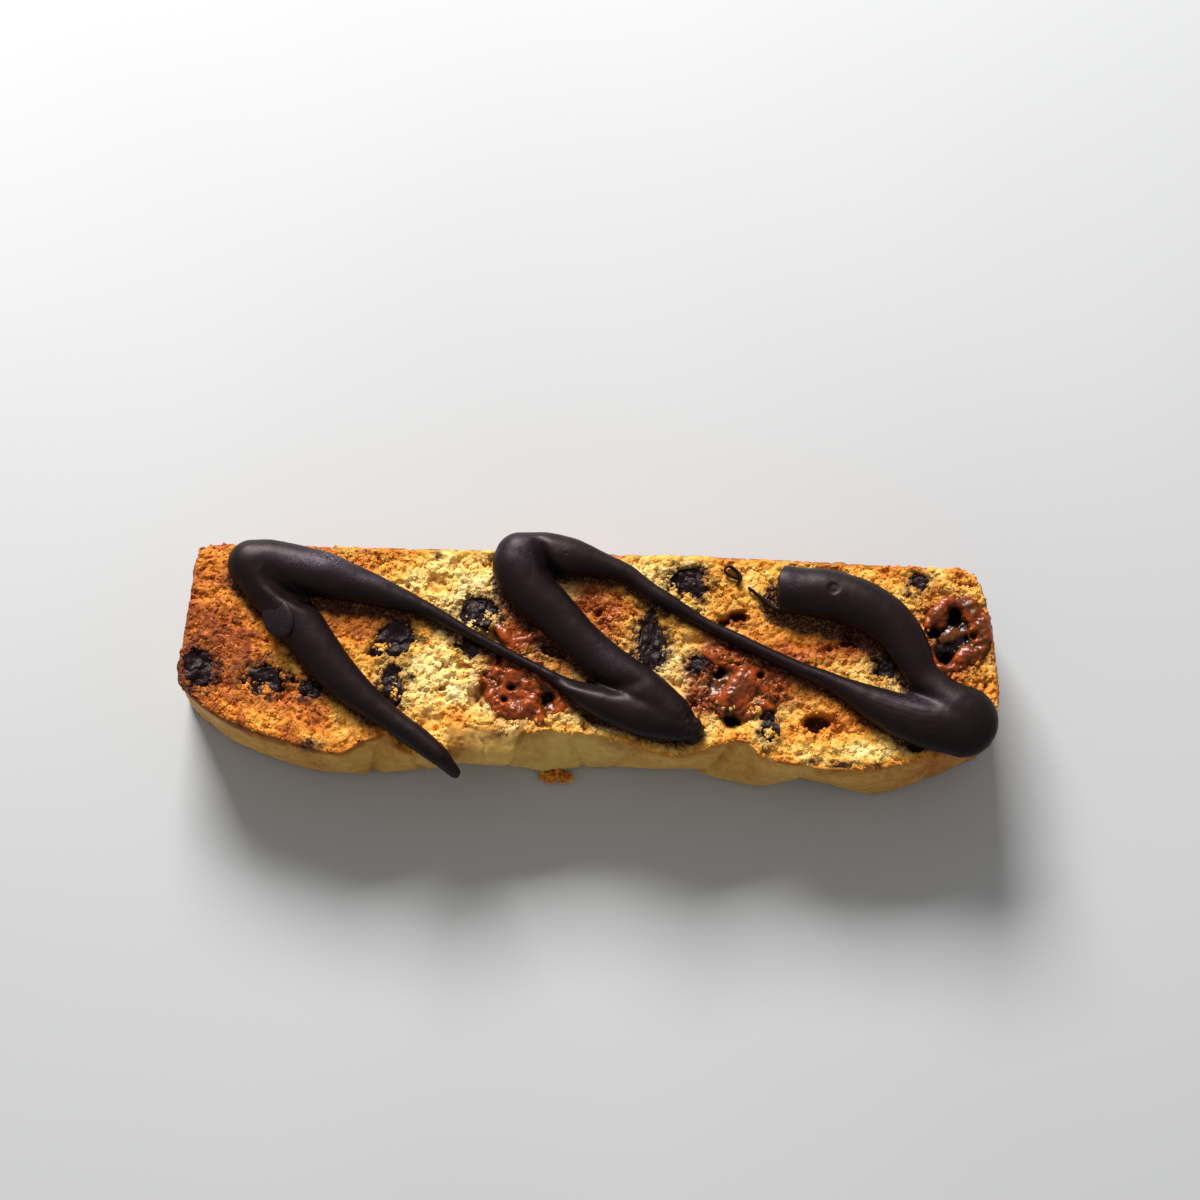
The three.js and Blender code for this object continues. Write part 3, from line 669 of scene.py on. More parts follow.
def caramel_material():
    """Glossy set caramel: amber where it stands up and red-brown to dark where it is deep, as painted
    light on its swells and painted shade in its depths and holes.
    """
    if "Set caramel" in bpy.data.materials:
        return bpy.data.materials["Set caramel"]
    material, tree, shader, grain = new_material("Set caramel", 0.7, 2.0, 0.9)
    uneven = centred(tree, grain["Coarse"], 0.5)
    depth = maths(tree, 'ADD', value_at(tree, "hollow"), uneven, clamp=True)
    tree.links.new(ramp(tree, depth, CARAMEL_COLOURS_WITH_SHADE), shader.inputs["Base Color"])
    roughness = maths(tree, 'ADD', maths(tree, 'MULTIPLY', grain["Fine"], 0.3), 0.12)
    tree.links.new(roughness, shader.inputs["Roughness"])
    set_sockets(shader, {"Specular IOR Level": 0.3, "Subsurface Weight": 0.08,
                         "Subsurface Radius": (1.0, 0.3, 0.08), "Subsurface Scale": 0.0012})
    add_bump(tree, shader, grain["Fine"], 0.35, 0.2)
    return material


# ---------------------------------------------------------------------------------------------
# The slice
# ---------------------------------------------------------------------------------------------

def along(outline, place):
    """The value at a place along an outline: each stretch rises by 3t² - 2t³ and leaves and
    meets its ends with the slope between the points on either side."""
    x, y = outline.T
    last = len(x) - 1
    i = np.clip(np.searchsorted(x, place, side="right") - 1, 0, last - 1)
    before = np.maximum(i - 1, 0)
    after = np.minimum(i + 2, last)
    span = x[i + 1] - x[i]
    start_slope = (y[i + 1] - y[before]) / (x[i + 1] - x[before])
    end_slope = (y[after] - y[i]) / (x[after] - x[i])
    t = np.clip((place - x[i]) / span, 0, 1)
    bend = t * (1 - t) * (1 - t) * span * start_slope - t * t * (1 - t) * span * end_slope
    return y[i] + (y[i + 1] - y[i]) * t * t * (3 - 2 * t) + bend


def edge(outline, share, swapped=False):
    """Points at shares of the way along an outline, as X and Y."""
    place = outline[0, 0] + (outline[-1, 0] - outline[0, 0]) * share
    pair = (along(outline, place), place) if swapped else (place, along(outline, place))
    return np.stack(pair, axis=-1)


def inside_edges(crust, u, v):
    """Points inside the four edges: facing edges are blended across, and what the two blends
    share through the corners is taken off once. The ends start at the crust's own corners."""
    left = np.concatenate([[crust[0, ::-1]], LEFT_END[1:]])
    right = np.concatenate([[crust[-1, ::-1]], RIGHT_END[1:]])
    u2, v2 = u[:, None], v[:, None]
    across = (1 - v2) * edge(crust, u) + v2 * edge(BAKED_BASE, u)
    lengthways = (1 - u2) * edge(left, v, True) + u2 * edge(right, v, True)
    corners = (1 - u2) * (1 - v2) * crust[0] + u2 * (1 - v2) * crust[-1]
    corners = corners + (1 - u2) * v2 * BAKED_BASE[0] + u2 * v2 * BAKED_BASE[-1]
    return across + lengthways - corners


def slice_points(u, v, height, inset):
    """Points of the plain slice at one height: the lower outline turns into the upper one by
    3w² - 2w³ with height, the crust swells between them by a half sine, and an inset draws the
    edge in."""
    w = height / THICKNESS
    above = inside_edges(CRUST_ABOVE, u, v)
    below = inside_edges(CRUST_BELOW, u, v)
    share = below + (above - below) * (w * w * (3 - 2 * w))
    ends = np.minimum(1, np.minimum(12 * u, 12 * (1 - u)))
    swell = CRUST_SWELL * np.sin(np.pi * w) * (1 - v) * ends
    x = share[:, 0] * (HALF_LENGTH - inset)
    y = share[:, 1] * (HALF_DEPTH - inset) - swell
    return np.stack([x, y, np.full(len(u), height)], axis=1)


def side_rows(edge_radius):
    """Heights and insets of the rows of points round the side, from the top down, as a fine and
    a coarse list of pairs: a quarter circle at each edge and even steps between."""
    arc = np.radians([65, 40, 15])
    drops = edge_radius * (1 - np.sin(arc))
    insets = edge_radius * (1 - np.cos(arc))
    fine = np.linspace(THICKNESS - edge_radius, 0.52 * THICKNESS, 10)
    coarse = np.linspace(0.46 * THICKNESS, edge_radius, 7)
    return ([*zip(THICKNESS - drops, insets), *((height, 0.0) for height in fine)],
            [*((height, 0.0) for height in coarse), *zip(drops[::-1], insets[::-1])])


def rim_numbers(length_cells, depth_cells):
    """The numbers of a grid's rim points, once round from the first corner along the crust."""
    i, j = np.arange(length_cells), np.arange(depth_cells)
    row = depth_cells + 1
    return np.concatenate([i * row, length_cells * row + j, (length_cells - i) * row + depth_cells,
                           depth_cells - j])


def grid_faces(length_cells, depth_cells):
    """The quads of a grid, with their outward side up."""
    i, j = np.meshgrid(np.arange(length_cells), np.arange(depth_cells), indexing="ij")
    a = (i * (depth_cells + 1) + j).ravel()
    return np.stack([a, a + depth_cells + 1, a + depth_cells + 2, a + 1], axis=1)


def band_faces(upper, lower):
    """The faces between two rings of points: quads, or three triangles for each cell of the
    lower ring where the upper one has twice as many."""
    next_upper, next_lower = np.roll(upper, -1), np.roll(lower, -1)
    if len(upper) == len(lower):
        return np.stack([upper, lower, next_lower, next_upper], axis=1)
    first, middle, last = upper[::2], upper[1::2], np.roll(upper[::2], -1)
    corners = ((first, lower, middle), (middle, lower, next_lower), (middle, next_lower, last))
    return np.concatenate([np.stack(three, axis=1) for three in corners])


def plain_slice(length_cells, depth_cells, edge_radius):
    """The closed skin of the slice without its relief: an upper cap, rows round the side, a band
    where two cells become one, and a lower cap of half as many cells each way."""
    def cap(nx, ny, height):
        """A face's points, and their shares of the way along and across."""
        grid = np.meshgrid(np.linspace(0, 1, nx + 1), np.linspace(0, 1, ny + 1), indexing="ij")
        u, v = (shares.ravel() for shares in grid)
        return slice_points(u, v, height, edge_radius), u, v

    top, top_u, top_v = cap(length_cells, depth_cells, THICKNESS)
    low, low_u, low_v = cap(length_cells // 2, depth_cells // 2, 0.0)
    top_rim = rim_numbers(length_cells, depth_cells)
    low_rim = rim_numbers(length_cells // 2, depth_cells // 2)
    fine, coarse = side_rows(edge_radius)
    points, sides_u, sides_v = [top], [top_u], [top_v]
    rings = [top_rim]
    count = len(top)
    for rows, u, v in ((fine, top_u[top_rim], top_v[top_rim]), (coarse, low_u[low_rim], low_v[low_rim])):
        for height, inset in rows:
            points.append(slice_points(u, v, height, inset))
            sides_u.append(u)
            sides_v.append(v)
            rings.append(count + np.arange(len(u)))
            count += len(u)
    points.append(low)
    rings.append(count + low_rim)
    quads = [grid_faces(length_cells, depth_cells)]
    quads.append(grid_faces(length_cells // 2, depth_cells // 2)[:, ::-1] + count)
    triangles = []
    for upper, lower in zip(rings[:-1], rings[1:]):
        faces = band_faces(upper, lower)
        (quads if faces.shape[1] == 4 else triangles).append(faces)
    u = np.concatenate([*sides_u, low_u])
    v = np.concatenate([*sides_v, low_v])
    return np.concatenate(points), [np.concatenate(quads), np.concatenate(triangles)], u, v


def crumb_relief(points):
    """The cut crumb's height in millimetres: a nearly flat face on clumps that stand at their own
    levels, with round pores in some of its cells, cracks between the cells and deeper ones
    between the clumps; a slow noise cut into steps, for torn ledges; and jagged pits. The
    toasted left end is closer and flatter than the rest."""
    sway = np.stack([soft_noise(points, 0.9, seed) for seed in (11, 12, 13)], axis=1)
    bent = points + 0.5 * sway
    loose = smooth(-46, -30, points[:, 0])
    clump, next_clump, lift = nearest_seed(bent, 2.3, 21)
    cell, next_cell, share = nearest_seed(bent, 1.1, 31)
    pore = smooth(0.5, 0.8, share) * smooth(0.66, 0.3, cell)
    crack = smooth(0.15, 0.03, next_cell - cell)
    height = 0.12 * soft_noise(points, 0.7, 35) - 0.45 * pore - 0.14 * crack
    height += (0.15 + 0.3 * loose) * (lift - 0.5)
    height += (0.1 + 0.1 * loose) * (dome(clump, 0.95) - 0.65)
    height -= (0.25 + 0.25 * loose) * smooth(0.16, 0.02, next_clump - clump)
    torn = 1 - np.clip(patches(points, CALM_PATCHES), 0, 1)
    level = 2.0 * layered_noise(bent, 8.0, 41)
    step = np.floor(level)
    ledge = step + smooth(0.72, 1.0, level - step)
    height += (0.1 + 0.3 * loose) * torn * np.clip(ledge, -2, 1)
    pits = layered_noise(bent, 2.6, 51)
    height -= (0.4 + 0.2 * loose) * torn * smooth(0.42, 0.54, pits)
    return 0.75 * height - (0.7 + 0.4 * loose) * torn * smooth(0.76, 0.84, pits)


def crust_relief(points):
    """The crust's height in millimetres: broad swells, fine wrinkles, and creases where a slow
    noise passes through nought."""
    height = 0.34 * layered_noise(points, 7.0, 71) + 0.12 * layered_noise(points, 1.6, 81)
    crease = np.abs(layered_noise(points, 7.0, 91))
    return height - 0.3 * smooth(0.08, 0.0, crease)


def split_depth(points):
    """How deep the splits cut into the crust: a soft notch along a slanted, wavering line."""
    w = points[:, 2] / THICKNESS
    waver = 0.9 * layered_noise(points * (0.3, 0.3, 1.0), 4.0, 101)
    total = np.zeros(len(points))
    for above, below, depth, half_width in CRUST_SPLITS:
        away = np.abs(points[:, 0] - (below + (above - below) * w) - waver)
        total += depth * smooth(half_width, 0.0, away)
    return total


def hollow_depth(points):
    """How deep the single hollows go: full depth inside a wavering oval, with steep sides."""
    waver = 0.35 * layered_noise(points, 1.6, 111)
    total = np.zeros(len(points))
    for x, y, reach_x, reach_y, depth in HOLLOWS:
        q = oval_distance(points, (x, y), (reach_x, reach_y)) + waver
        total = np.maximum(total, depth * smooth(1.25, 0.6, q))
    return total


def socket_fall(points, node, spread, waver):
    """How far inside an inclusion's opening each point is: 1 well inside a wavering oval that is
    a share of the inclusion's box, and 0 outside it."""
    middle, half = middle_and_half(node)
    q = oval_distance(points, middle, half * spread)
    same_face = in_upper_half(points) == (middle[2] > THICKNESS / 2)
    return smooth(1.08, 0.9, q + waver) * same_face


def sockets(points):
    """The greatest fall into any inclusion's opening, and a soft halo round the chocolate."""
    waver = 0.3 * layered_noise(points, 3.2, 121) + 0.26 * layered_noise(points, 1.1, 125)
    waver *= 1 - patches(points, CLEAN_CUTS)
    fall = np.zeros(len(points))
    halo = np.zeros(len(points))
    for node in CHOCOLATE_NODES:
        fall = np.maximum(fall, socket_fall(points, node, CHOCOLATE_OPENING, 1.5 * waver))
        middle, half = middle_and_half(node)
        away = oval_distance(points, middle, half + HALO_WIDTH)
        near_face = np.abs(points[:, 2] - middle[2]) < 5
        halo = np.maximum(halo, smooth(1.55, 0.95, away + 1.3 * waver) * near_face)
    for node in CARAMEL_NODES:
        fall = np.maximum(fall, socket_fall(points, node, CARAMEL_OPENING, waver))
    cover = patches(points, CLINGING_CRUMBS) * in_upper_half(points)
    return fall * smooth(0.62, 0.48, cover + waver), halo * smooth(0.8, 0.3, cover + waver)


def crust_distance(points):
    """How far each point lies inside the crust's upper edge, along Y."""
    share = np.clip(points[:, 0] / HALF_LENGTH, CRUST_ABOVE[0, 0], CRUST_ABOVE[-1, 0])
    return points[:, 1] - along(CRUST_ABOVE, share) * HALF_DEPTH


def flap_share(points):
    """1 along the stretch of the front edge where the crust folds over onto the cut face."""
    x = points[:, 0] + 0.9 * layered_noise(points, 2.6, 175)
    return smooth(-25.0, -20.5, x) * smooth(-9.2, -11.8, x)


def stroke_shadow_and_run(points):
    """Painted shadow in front of each stroke, partly also melted chocolate that has run into the crumb:
    1 under a stroke and in a wavering band in front of it, a third as wide as the stroke or its
    own reach, and 0 farther out and at the crust."""
    waver = 0.5 * layered_noise(points, 1.5, 351)
    run = np.zeros(len(points))
    for stroke, reach in zip(STROKES, SHADOW_AND_RUN_REACH):
        _, width = line_distance(points, stroke)
        band = np.minimum(0.32 * width, reach)
        # Shifted to the front of the stroke, where its shadow falls: this band is painted shadow.
        away, width = line_distance(points + band[:, None] * (0.0, 1.0, 0.0), stroke)
        run = np.maximum(run, smooth(0.8, -0.8, away - width / 2 + waver))
    return run * in_upper_half(points) * smooth(0.3, 3.0, crust_distance(points))


def toasting(points):
    """How toasted the cut face is, from 0 to 1: a middle level with soft patches, darker within
    a millimetre or two of the outline, and uneven."""
    level = TOAST_LEVEL + patches(points, TOAST_PATCHES)
    rim = np.minimum(crust_distance(points), HALF_DEPTH - points[:, 1])
    level += 0.2 * smooth(2.2, 0.0, rim) + 0.25 * smooth(65.0, 69.5, -points[:, 0])
    mottling = 0.26 * layered_noise(points, 4.2, 131) + 0.1 * layered_noise(points, 1.5, 135)
    return np.clip(level + mottling, 0, 1)


def browning(points, cut_share):
    """How brown the crust is baked, from 0 to 1: most on the flat base, at the ends and in a band
    under the upper edge, more to the left and the right than in the middle, paler on the flap as painted
    light, and uneven."""
    height = points[:, 2] / THICKNESS
    base_side = smooth(HALF_DEPTH - 3.0, HALF_DEPTH - 0.5, points[:, 1])
    left = smooth(18.0, 60.0, -points[:, 0])
    right = smooth(34.0, 66.0, points[:, 0])
    band = smooth(0.84, 0.96, height + 0.06 * layered_noise(points, 4.0, 165))
    ends = smooth(62.0, 68.5, np.abs(points[:, 0])) * smooth(-10.0, 16.0, points[:, 1])
    baked = 0.24 + 0.62 * base_side + 0.35 * ends * (1 - base_side)
    baked = baked + (0.14 + 0.4 * left) * band + 0.16 * left * height + 0.3 * right
    baked -= 0.2 * np.exp(-((points[:, 0] + 3) / 9) ** 2)
    # Painted light: the upper part of the folded flap is made paler, against the shade it lies in.
    baked -= 0.1 * flap_share(points) * smooth(0.7, 1.0, height)
    baked += 0.13 * layered_noise(points, 4.0, 161) + 0.1 * layered_noise(points, 1.4, 163)
    baked += 0.25 * smooth(0.0, 0.4, cut_share)
    return np.clip(baked, 0, 1)


def surface_values(points, cut_share, relief):
    """What the crumb's material reads at each point: how toasted; how soaked with caramel, plus painted
    shade under the last stroke; how stained with chocolate and burnt, plus painted shade in deep
    places, holes and in front of the strokes; how deep; whether crust; and how baked it is there."""
    _, halo = sockets(points)
    # Caramel soak, and painted shade in the patches just under the last stroke.
    soak_and_shade = patches(points, SOAKED_AND_SHADE_PATCHES)
    soak_and_shade = np.clip(soak_and_shade * (1 + 0.6 * layered_noise(points, 2.2, 141)), 0, 0.95)
    # Burnt marks at the edge, and painted shade in holes, dark pockets and under the last stroke.
    burnt_and_shade = patches(points, BURNT_AND_SHADE_PATCHES) * (1 + 0.7 * layered_noise(points, 1.2, 151))
    fleck = smooth(0.3, 0.62, layered_noise(points, 1.5, 155))
    fringe = np.clip(halo * (0.55 + 1.2 * fleck), 0, 1) * cut_share
    # Painted shade: the crumb darkens where it lies more than 1.5 mm deep, in pits, sockets and holes.
    deep = np.clip((-1.5 - relief) / 1.2, 0, 1)
    # Painted shadow in front of the strokes, partly also chocolate that has run, darkens the crumb
    # through the stain.
    run = 1.25 * stroke_shadow_and_run(points) * cut_share
    return {
        "toast": np.clip(toasting(points) + 0.18 * np.clip(relief, -0.8, 0.4), 0, 1),
        "soak_and_shade": soak_and_shade * smooth(0.2, 0.6, points[:, 2] / THICKNESS),
        "stain_and_shade": np.clip(fringe + 0.9 * burnt_and_shade + 0.75 * deep + run, 0, 1),
        "hollow": np.clip(-0.1 - relief, 0, 1),
        "crust": 1 - cut_share,
        "baked": browning(points, cut_share),
    }


def crumbled_slice(length_cells, depth_cells, edge_radius):
    """The slice with its relief, and what its material reads. The cut faces get the crumb's
    relief, the sides the crust's, and the two are blended by how flat the skin lies."""
    points, faces, u, v = plain_slice(length_cells, depth_cells, edge_radius)
    flap = flap_share(points)
    edge_away = crust_distance(points)
    fold = FLAP_WIDTH * flap * smooth(0.6, 1.0, points[:, 2] / THICKNESS)
    turned = np.clip(1 - edge_away / np.maximum(fold, 0.01), 0, 1)
    points[:, 2] -= fold * (1 - np.sqrt(1 - 0.93 * turned ** 2)) * 0.75
    normals = point_normals(points, faces)
    lower = 0.4 * smooth(0.96, 1.0, v)
    cut = smooth(0.55 - lower, 0.85 - lower, np.abs(normals[:, 2]))
    cut = cut * (1 - flap * smooth(6.0, 4.2, edge_away + 0.9 * layered_noise(points, 2.5, 171)))
    at_end = np.maximum(smooth(0.03, 0.0, u), smooth(0.97, 1.0, u))
    on_base = smooth(0.97, 1.0, v)
    grainy = np.maximum(cut, np.maximum(0.25 * at_end, 0.12 * on_base))
    relief = grainy * (crumb_relief(points) - 0.1)
    fall, _ = sockets(points)
    relief = relief * (1 - 0.6 * fall) - cut * fall * 1.7
    under_holes = [(x, y, 1.6 * reach, 1.6 * reach, 3.0) for x, y, reach in CARAMEL_HOLES]
    sunk = hollow_depth(points) + patches(points, under_holes)
    relief -= cut * in_upper_half(points) * sunk
    on_front = smooth(0.05, 0.0, v)
    moved = relief + (1 - grainy) * crust_relief(points)
    moved = moved - (1 - cut) * on_front * split_depth(points)
    values = surface_values(points, cut, relief)
    points = points + normals * moved[:, None]
    points[:, 2] = np.maximum(points[:, 2], 0)
    return points, faces, values


# ---------------------------------------------------------------------------------------------
# Settings
# ---------------------------------------------------------------------------------------------

class SliceSettings(bpy.types.PropertyGroup):
    """Sizes of the slice's surface."""
    length_cells: bpy.props.IntProperty(
        name="Cells along", description="Cells of the upper face along the slice", default=468)
    depth_cells: bpy.props.IntProperty(
        name="Cells across", description="Cells of the upper face across the slice", default=120)
    edge_radius: bpy.props.FloatProperty(
        name="Edge radius", description="Radius of the slice's edges, in millimetres", default=0.7)
    grain_share: bpy.props.FloatProperty(
        name="Grains", description="Share of the full number of loose grains", default=1.0,
        min=0.0, max=1.0, subtype='FACTOR')


class DrizzleSettings(bpy.types.PropertyGroup):
    """Sizes and colours of the chocolate."""
    greatest_height: bpy.props.FloatProperty(
        name="Height", description="Greatest height of a piped line, in millimetres", default=4.2)
    ring_step: bpy.props.FloatProperty(
        name="Ring step", description="Distance between a stroke's rings, in millimetres", default=0.5)
    voxel: bpy.props.FloatProperty(
        name="Joining size", description="Voxel at which the strokes are joined", default=0.26 * MM,
        unit='LENGTH', precision=5)
    colour: bpy.props.FloatVectorProperty(
        name="Colour", description="The piped chocolate's colour", default=linear("0D0606"),
        subtype='COLOR', min=0.0, max=1.0)
    lighter: bpy.props.FloatVectorProperty(
        name="Lighter colour", description="The colour of its lighter patches",
        default=linear("170B0D"), subtype='COLOR', min=0.0, max=1.0)


class StageSettings(bpy.types.PropertyGroup):
    """The camera and the light."""
    azimuth: bpy.props.FloatProperty(
        name="Azimuth", description="The camera's turn round the slice", default=math.radians(1.9),
        subtype='ANGLE')
    elevation: bpy.props.FloatProperty(
        name="Elevation", description="The camera's height over the horizon",
        default=math.radians(77.0), subtype='ANGLE')
    distance: bpy.props.FloatProperty(
        name="Distance", description="From the camera to its aim", default=0.6, unit='LENGTH')
    lens: bpy.props.FloatProperty(
        name="Lens", description="Focal length in millimetres", default=105.7)
    key_power: bpy.props.FloatProperty(
        name="Key light", description="Power of the soft light from behind", default=20.2,
        unit='POWER')
    fill: bpy.props.FloatProperty(
        name="Fill", description="Strength of the even light from all round", default=0.36)


class BISCOTTI_OT_slice(bpy.types.Operator):
    """Make the slice with its crumb, crust and baked base"""
    bl_idname = "biscotti.slice"
    bl_label = "Slice"

    def execute(self, context):
        size = context.scene.biscotti_slice
        points, faces, values = crumbled_slice(size.length_cells, size.depth_cells, size.edge_radius)
        piece = build_mesh("biscuit_slice", points, faces, values)
        finish_piece(piece, crumb_material(), ("biscuit",))
        return {'FINISHED'}


# ---------------------------------------------------------------------------------------------
# Loose grains and crumbs
# ---------------------------------------------------------------------------------------------

def twenty_sided():
    """The points and faces of a ball of twenty triangles: two poles and two rings of five, at
    heights of one over the square root of five and twice as far from the axis."""
    rise = 1 / math.sqrt(5)
    turn = np.arange(5) * 2 * np.pi / 5
    low, high = (np.stack([2 * rise * np.cos(angle), 2 * rise * np.sin(angle), np.full(5, z)], axis=1)
                 for angle, z in ((turn, -rise), (turn + np.pi / 5, rise)))
    k = np.arange(5)
    n = (k + 1) % 5
    faces = [(n, k, 10 + 0 * k), (k, n, 5 + k), (n, 5 + n, 5 + k), (5 + k, 5 + n, 11 + 0 * k)]
    return (np.concatenate([low, high, [(0, 0, -1), (0, 0, 1)]]),
            np.concatenate([np.stack(f, axis=1) for f in faces]))


def grains(places, radii, random):
    """Small uneven grains at given places: each point of a twenty-sided ball is pushed in or out
    by up to a third, and each ball is stretched and turned its own way."""
    ball, faces = twenty_sided()
    count = len(places)
    pushed = ball[None] * random.uniform(0.66, 1.34, (count, 12, 1))
    stretched = pushed * random.uniform(0.7, 1.3, (count, 1, 3)) * radii[:, None, None]
    turn = random.normal(size=(count, 4))
    w, x, y, z = (turn / np.linalg.norm(turn, axis=1, keepdims=True)).T
    turns = np.stack([
        1 - 2 * (y * y + z * z), 2 * (x * y - z * w), 2 * (x * z + y * w),
        2 * (x * y + z * w), 1 - 2 * (x * x + z * z), 2 * (y * z - x * w),
        2 * (x * z - y * w), 2 * (y * z + x * w), 1 - 2 * (x * x + y * y)], axis=1).reshape(-1, 3, 3)
    points = np.einsum("nij,nkj->nki", turns, stretched) + places[:, None]
    numbers = (np.arange(count)[:, None, None] * 12 + faces[None]).reshape(-1, 3)
    return points.reshape(-1, 3), numbers


def surface_places(piece):
    """The points of a piece in millimetres, and a reader of the values kept at them."""
    mesh = piece.data

    def read(key):
        """The values that are kept under a name."""
        return read_array(mesh.attributes[key].data, "value")

    return read_array(mesh.vertices, "co", 3) / MM, read


def grain_piece(name, places, radii, random, paler=0.0):
    """A piece of loose grains, each a shade more or less toasted than the crumb around it, and
    all of them paler by the given share."""
    points, faces = grains(places, radii, random)
    points[:, 2] = np.maximum(points[:, 2], 0.01)
    cut = np.ones(len(points))
    values = surface_values(points, cut, 0.1 * cut)
    shade = np.repeat(random.normal(0, 0.075, len(places)), 12)
    values["toast"] = np.clip(values["toast"] + shade - paler, 0, 1)
    values["stain_and_shade"] *= 1 - min(3 * paler, 1)
    finish_piece(build_mesh(name, points, [faces], values, False), crumb_material())


def scatter_grains(share):
    """Loose grains over the open crumb of the two cut faces, a piece for each kind: each is set
    by a point of the slice's skin and sunk by most of its radius."""
    points, read = surface_places(bpy.data.objects["biscuit_slice"])
    open_crumb = (read("crust") < 0.35) & (read("hollow") < 0.62) & (points[:, 1] < HALF_DEPTH - 0.9)
    for name, number, least, greatest, upper in GRAIN_KINDS:
        random = np.random.default_rng(number + upper)
        face = in_upper_half(points) if upper else points[:, 2] < 0.6
        number = int(number * share)
        places = points[random.choice(np.flatnonzero(face & open_crumb), number)]
        radii = random.uniform(least, greatest, number)
        places[:, :2] += random.uniform(-GRAIN_SHIFT, GRAIN_SHIFT, (number, 2))
        places[:, 2] -= (1 if upper else -1) * radii * GRAIN_SINK
        grain_piece(name, places, radii, random)


def soaked_places(random, count=30):
    """Places of crumbs in a ring round each piece of caramel."""
    places = []
    for node in CARAMEL_NODES:
        middle, half = middle_and_half(node)
        turn = random.uniform(0, 2 * np.pi, count)
        reach = random.uniform(0.85, 1.25, count)[:, None] * half[:2]
        level = THICKNESS - 0.25 if middle[2] > THICKNESS / 2 else 0.25
        around = middle[:2] + np.stack([np.cos(turn), np.sin(turn)], axis=1) * reach
        places.append(np.column_stack([around, np.full(count, level)]))
    return np.concatenate(places)


def chunk_places(random):
    """Places of the small heaps of crumb that cling to the chunks."""
    heaps = []
    for x, y, reach_x, reach_y, _ in CLINGING_CRUMBS:
        spread = (0.6 * reach_x, 0.6 * reach_y, 0.1)
        heaps.append(random.normal(size=(16, 3)) * spread + (x, y, THICKNESS - 0.5))
    return np.concatenate(heaps)


def foot_places(random, count=700):
    """Places that fill a low uneven heap: they lie evenly in the outer part of a ball, which is
    squashed to the heap's size, bent by one noise, and thinned where another is low."""
    heap = random.normal(size=(count, 3))
    heap *= random.uniform(0.2, 1, (count, 1)) ** 0.33 / np.linalg.norm(heap, axis=1, keepdims=True)
    middle, half = FOOT_CRUMB
    places = heap * half + middle
    places[:, 1] += 0.7 * layered_noise(places * (1, 0, 0), 1.6, 8)
    places[:, 2] = np.maximum(places[:, 2], 0.3)
    return places[layered_noise(places, 1.3, 9) > 0.16]


class BISCOTTI_OT_grains(bpy.types.Operator):
    """Scatter the loose grains of crumb over the cut faces and the chunks"""
    bl_idname = "biscotti.grains"
    bl_label = "Grains"

    def execute(self, context):
        scatter_grains(context.scene.biscotti_slice.grain_share)
        random = np.random.default_rng(5)
        for name, places_of, least, greatest, paler in (
                ("soaked_crumbs", soaked_places, 0.24, 0.46, 0.0),
                ("chunk_crumbs", chunk_places, 0.14, 0.3, 0.12),
                ("foot_crumb", foot_places, 0.25, 0.5, 0.0)):
            places = places_of(random)
            radii = random.uniform(least, greatest, len(places))
            grain_piece(name, places, radii, random, paler)
        return {'FINISHED'}


# ---------------------------------------------------------------------------------------------
# Chunks of chocolate and caramel
# ---------------------------------------------------------------------------------------------

def broken_lump(node, rings, around, seed, level):
    """An inclusion that the knife broke open: an upright ball over the inclusion's box, pushed in
    and out by noise, cut off at the given depth under the cut face, and lumpy where it is cut."""
    middle, half = middle_and_half(node)
    directions, faces = ball_grid(rings, around)
    side, face = (1, THICKNESS) if middle[2] > THICKNESS / 2 else (-1, 0.0)
    reach = 0.97 + 0.36 * layered_noise(directions, 0.9, seed)
    points = middle + directions * half * (1.12, 1.12, 2.3) * reach[:, None]
    depth = (face - points[:, 2]) * side
    pressed = np.where(depth < level, level + (depth - level) * 0.05, depth)
    bent = points + 0.25 * layered_noise(points, 0.8, seed + 5)[:, None]
    lump, _, lift = nearest_seed(bent, 1.3, seed + 9)
    rough = 0.5 * layered_noise(points, 2.2, seed + 3)
    rough = rough + 0.22 * (dome(lump, 0.85) - 0.5) + 0.4 * (lift - 0.5)
    pressed = pressed - smooth(level + 1.0, level, depth) * rough
    points[:, 2] = face - side * np.maximum(pressed, 0.02)
    return points, faces


class BISCOTTI_OT_chocolate_chunks(bpy.types.Operator):
    """Make the chocolate chunks that the knife laid bare"""
    bl_idname = "biscotti.chocolate_chunks"
    bl_label = "Chocolate chunks"

    def execute(self, context):
        material = chocolate_material("Broken chocolate", linear("0E0607"), linear("1E0E10"), 0.45, 0.3)
        for number, node in enumerate(CHOCOLATE_NODES):
            points, faces = broken_lump(node, 44, 56, 200 + 10 * number, 0.7)
            piece = build_mesh(f"broken_{node}", points, faces, {"bloom_and_sheen": np.zeros(len(points))})
            finish_piece(piece, material, (node,))
        return {'FINISHED'}


def loose_loops(node, random):
    """Three folds that waver in loops round the middle of an inclusion."""
    middle, half = middle_and_half(node)
    loops = []
    for reach in (0.75, 0.6, 0.35):
        turn = random.uniform(0, 2 * np.pi) + np.linspace(0, random.uniform(2.2, 4.6), 9)
        wander = reach + random.uniform(-0.22, 0.22, 9)
        width = random.uniform(2.2, 3.4) + random.uniform(-0.8, 0.8, 9)
        x = middle[0] + half[0] * wander * np.cos(turn)
        y = middle[1] + half[1] * wander * np.sin(turn)
        loops.append((random.uniform(-0.2, 0.4), np.stack([x, y, width], axis=1)))
    return loops


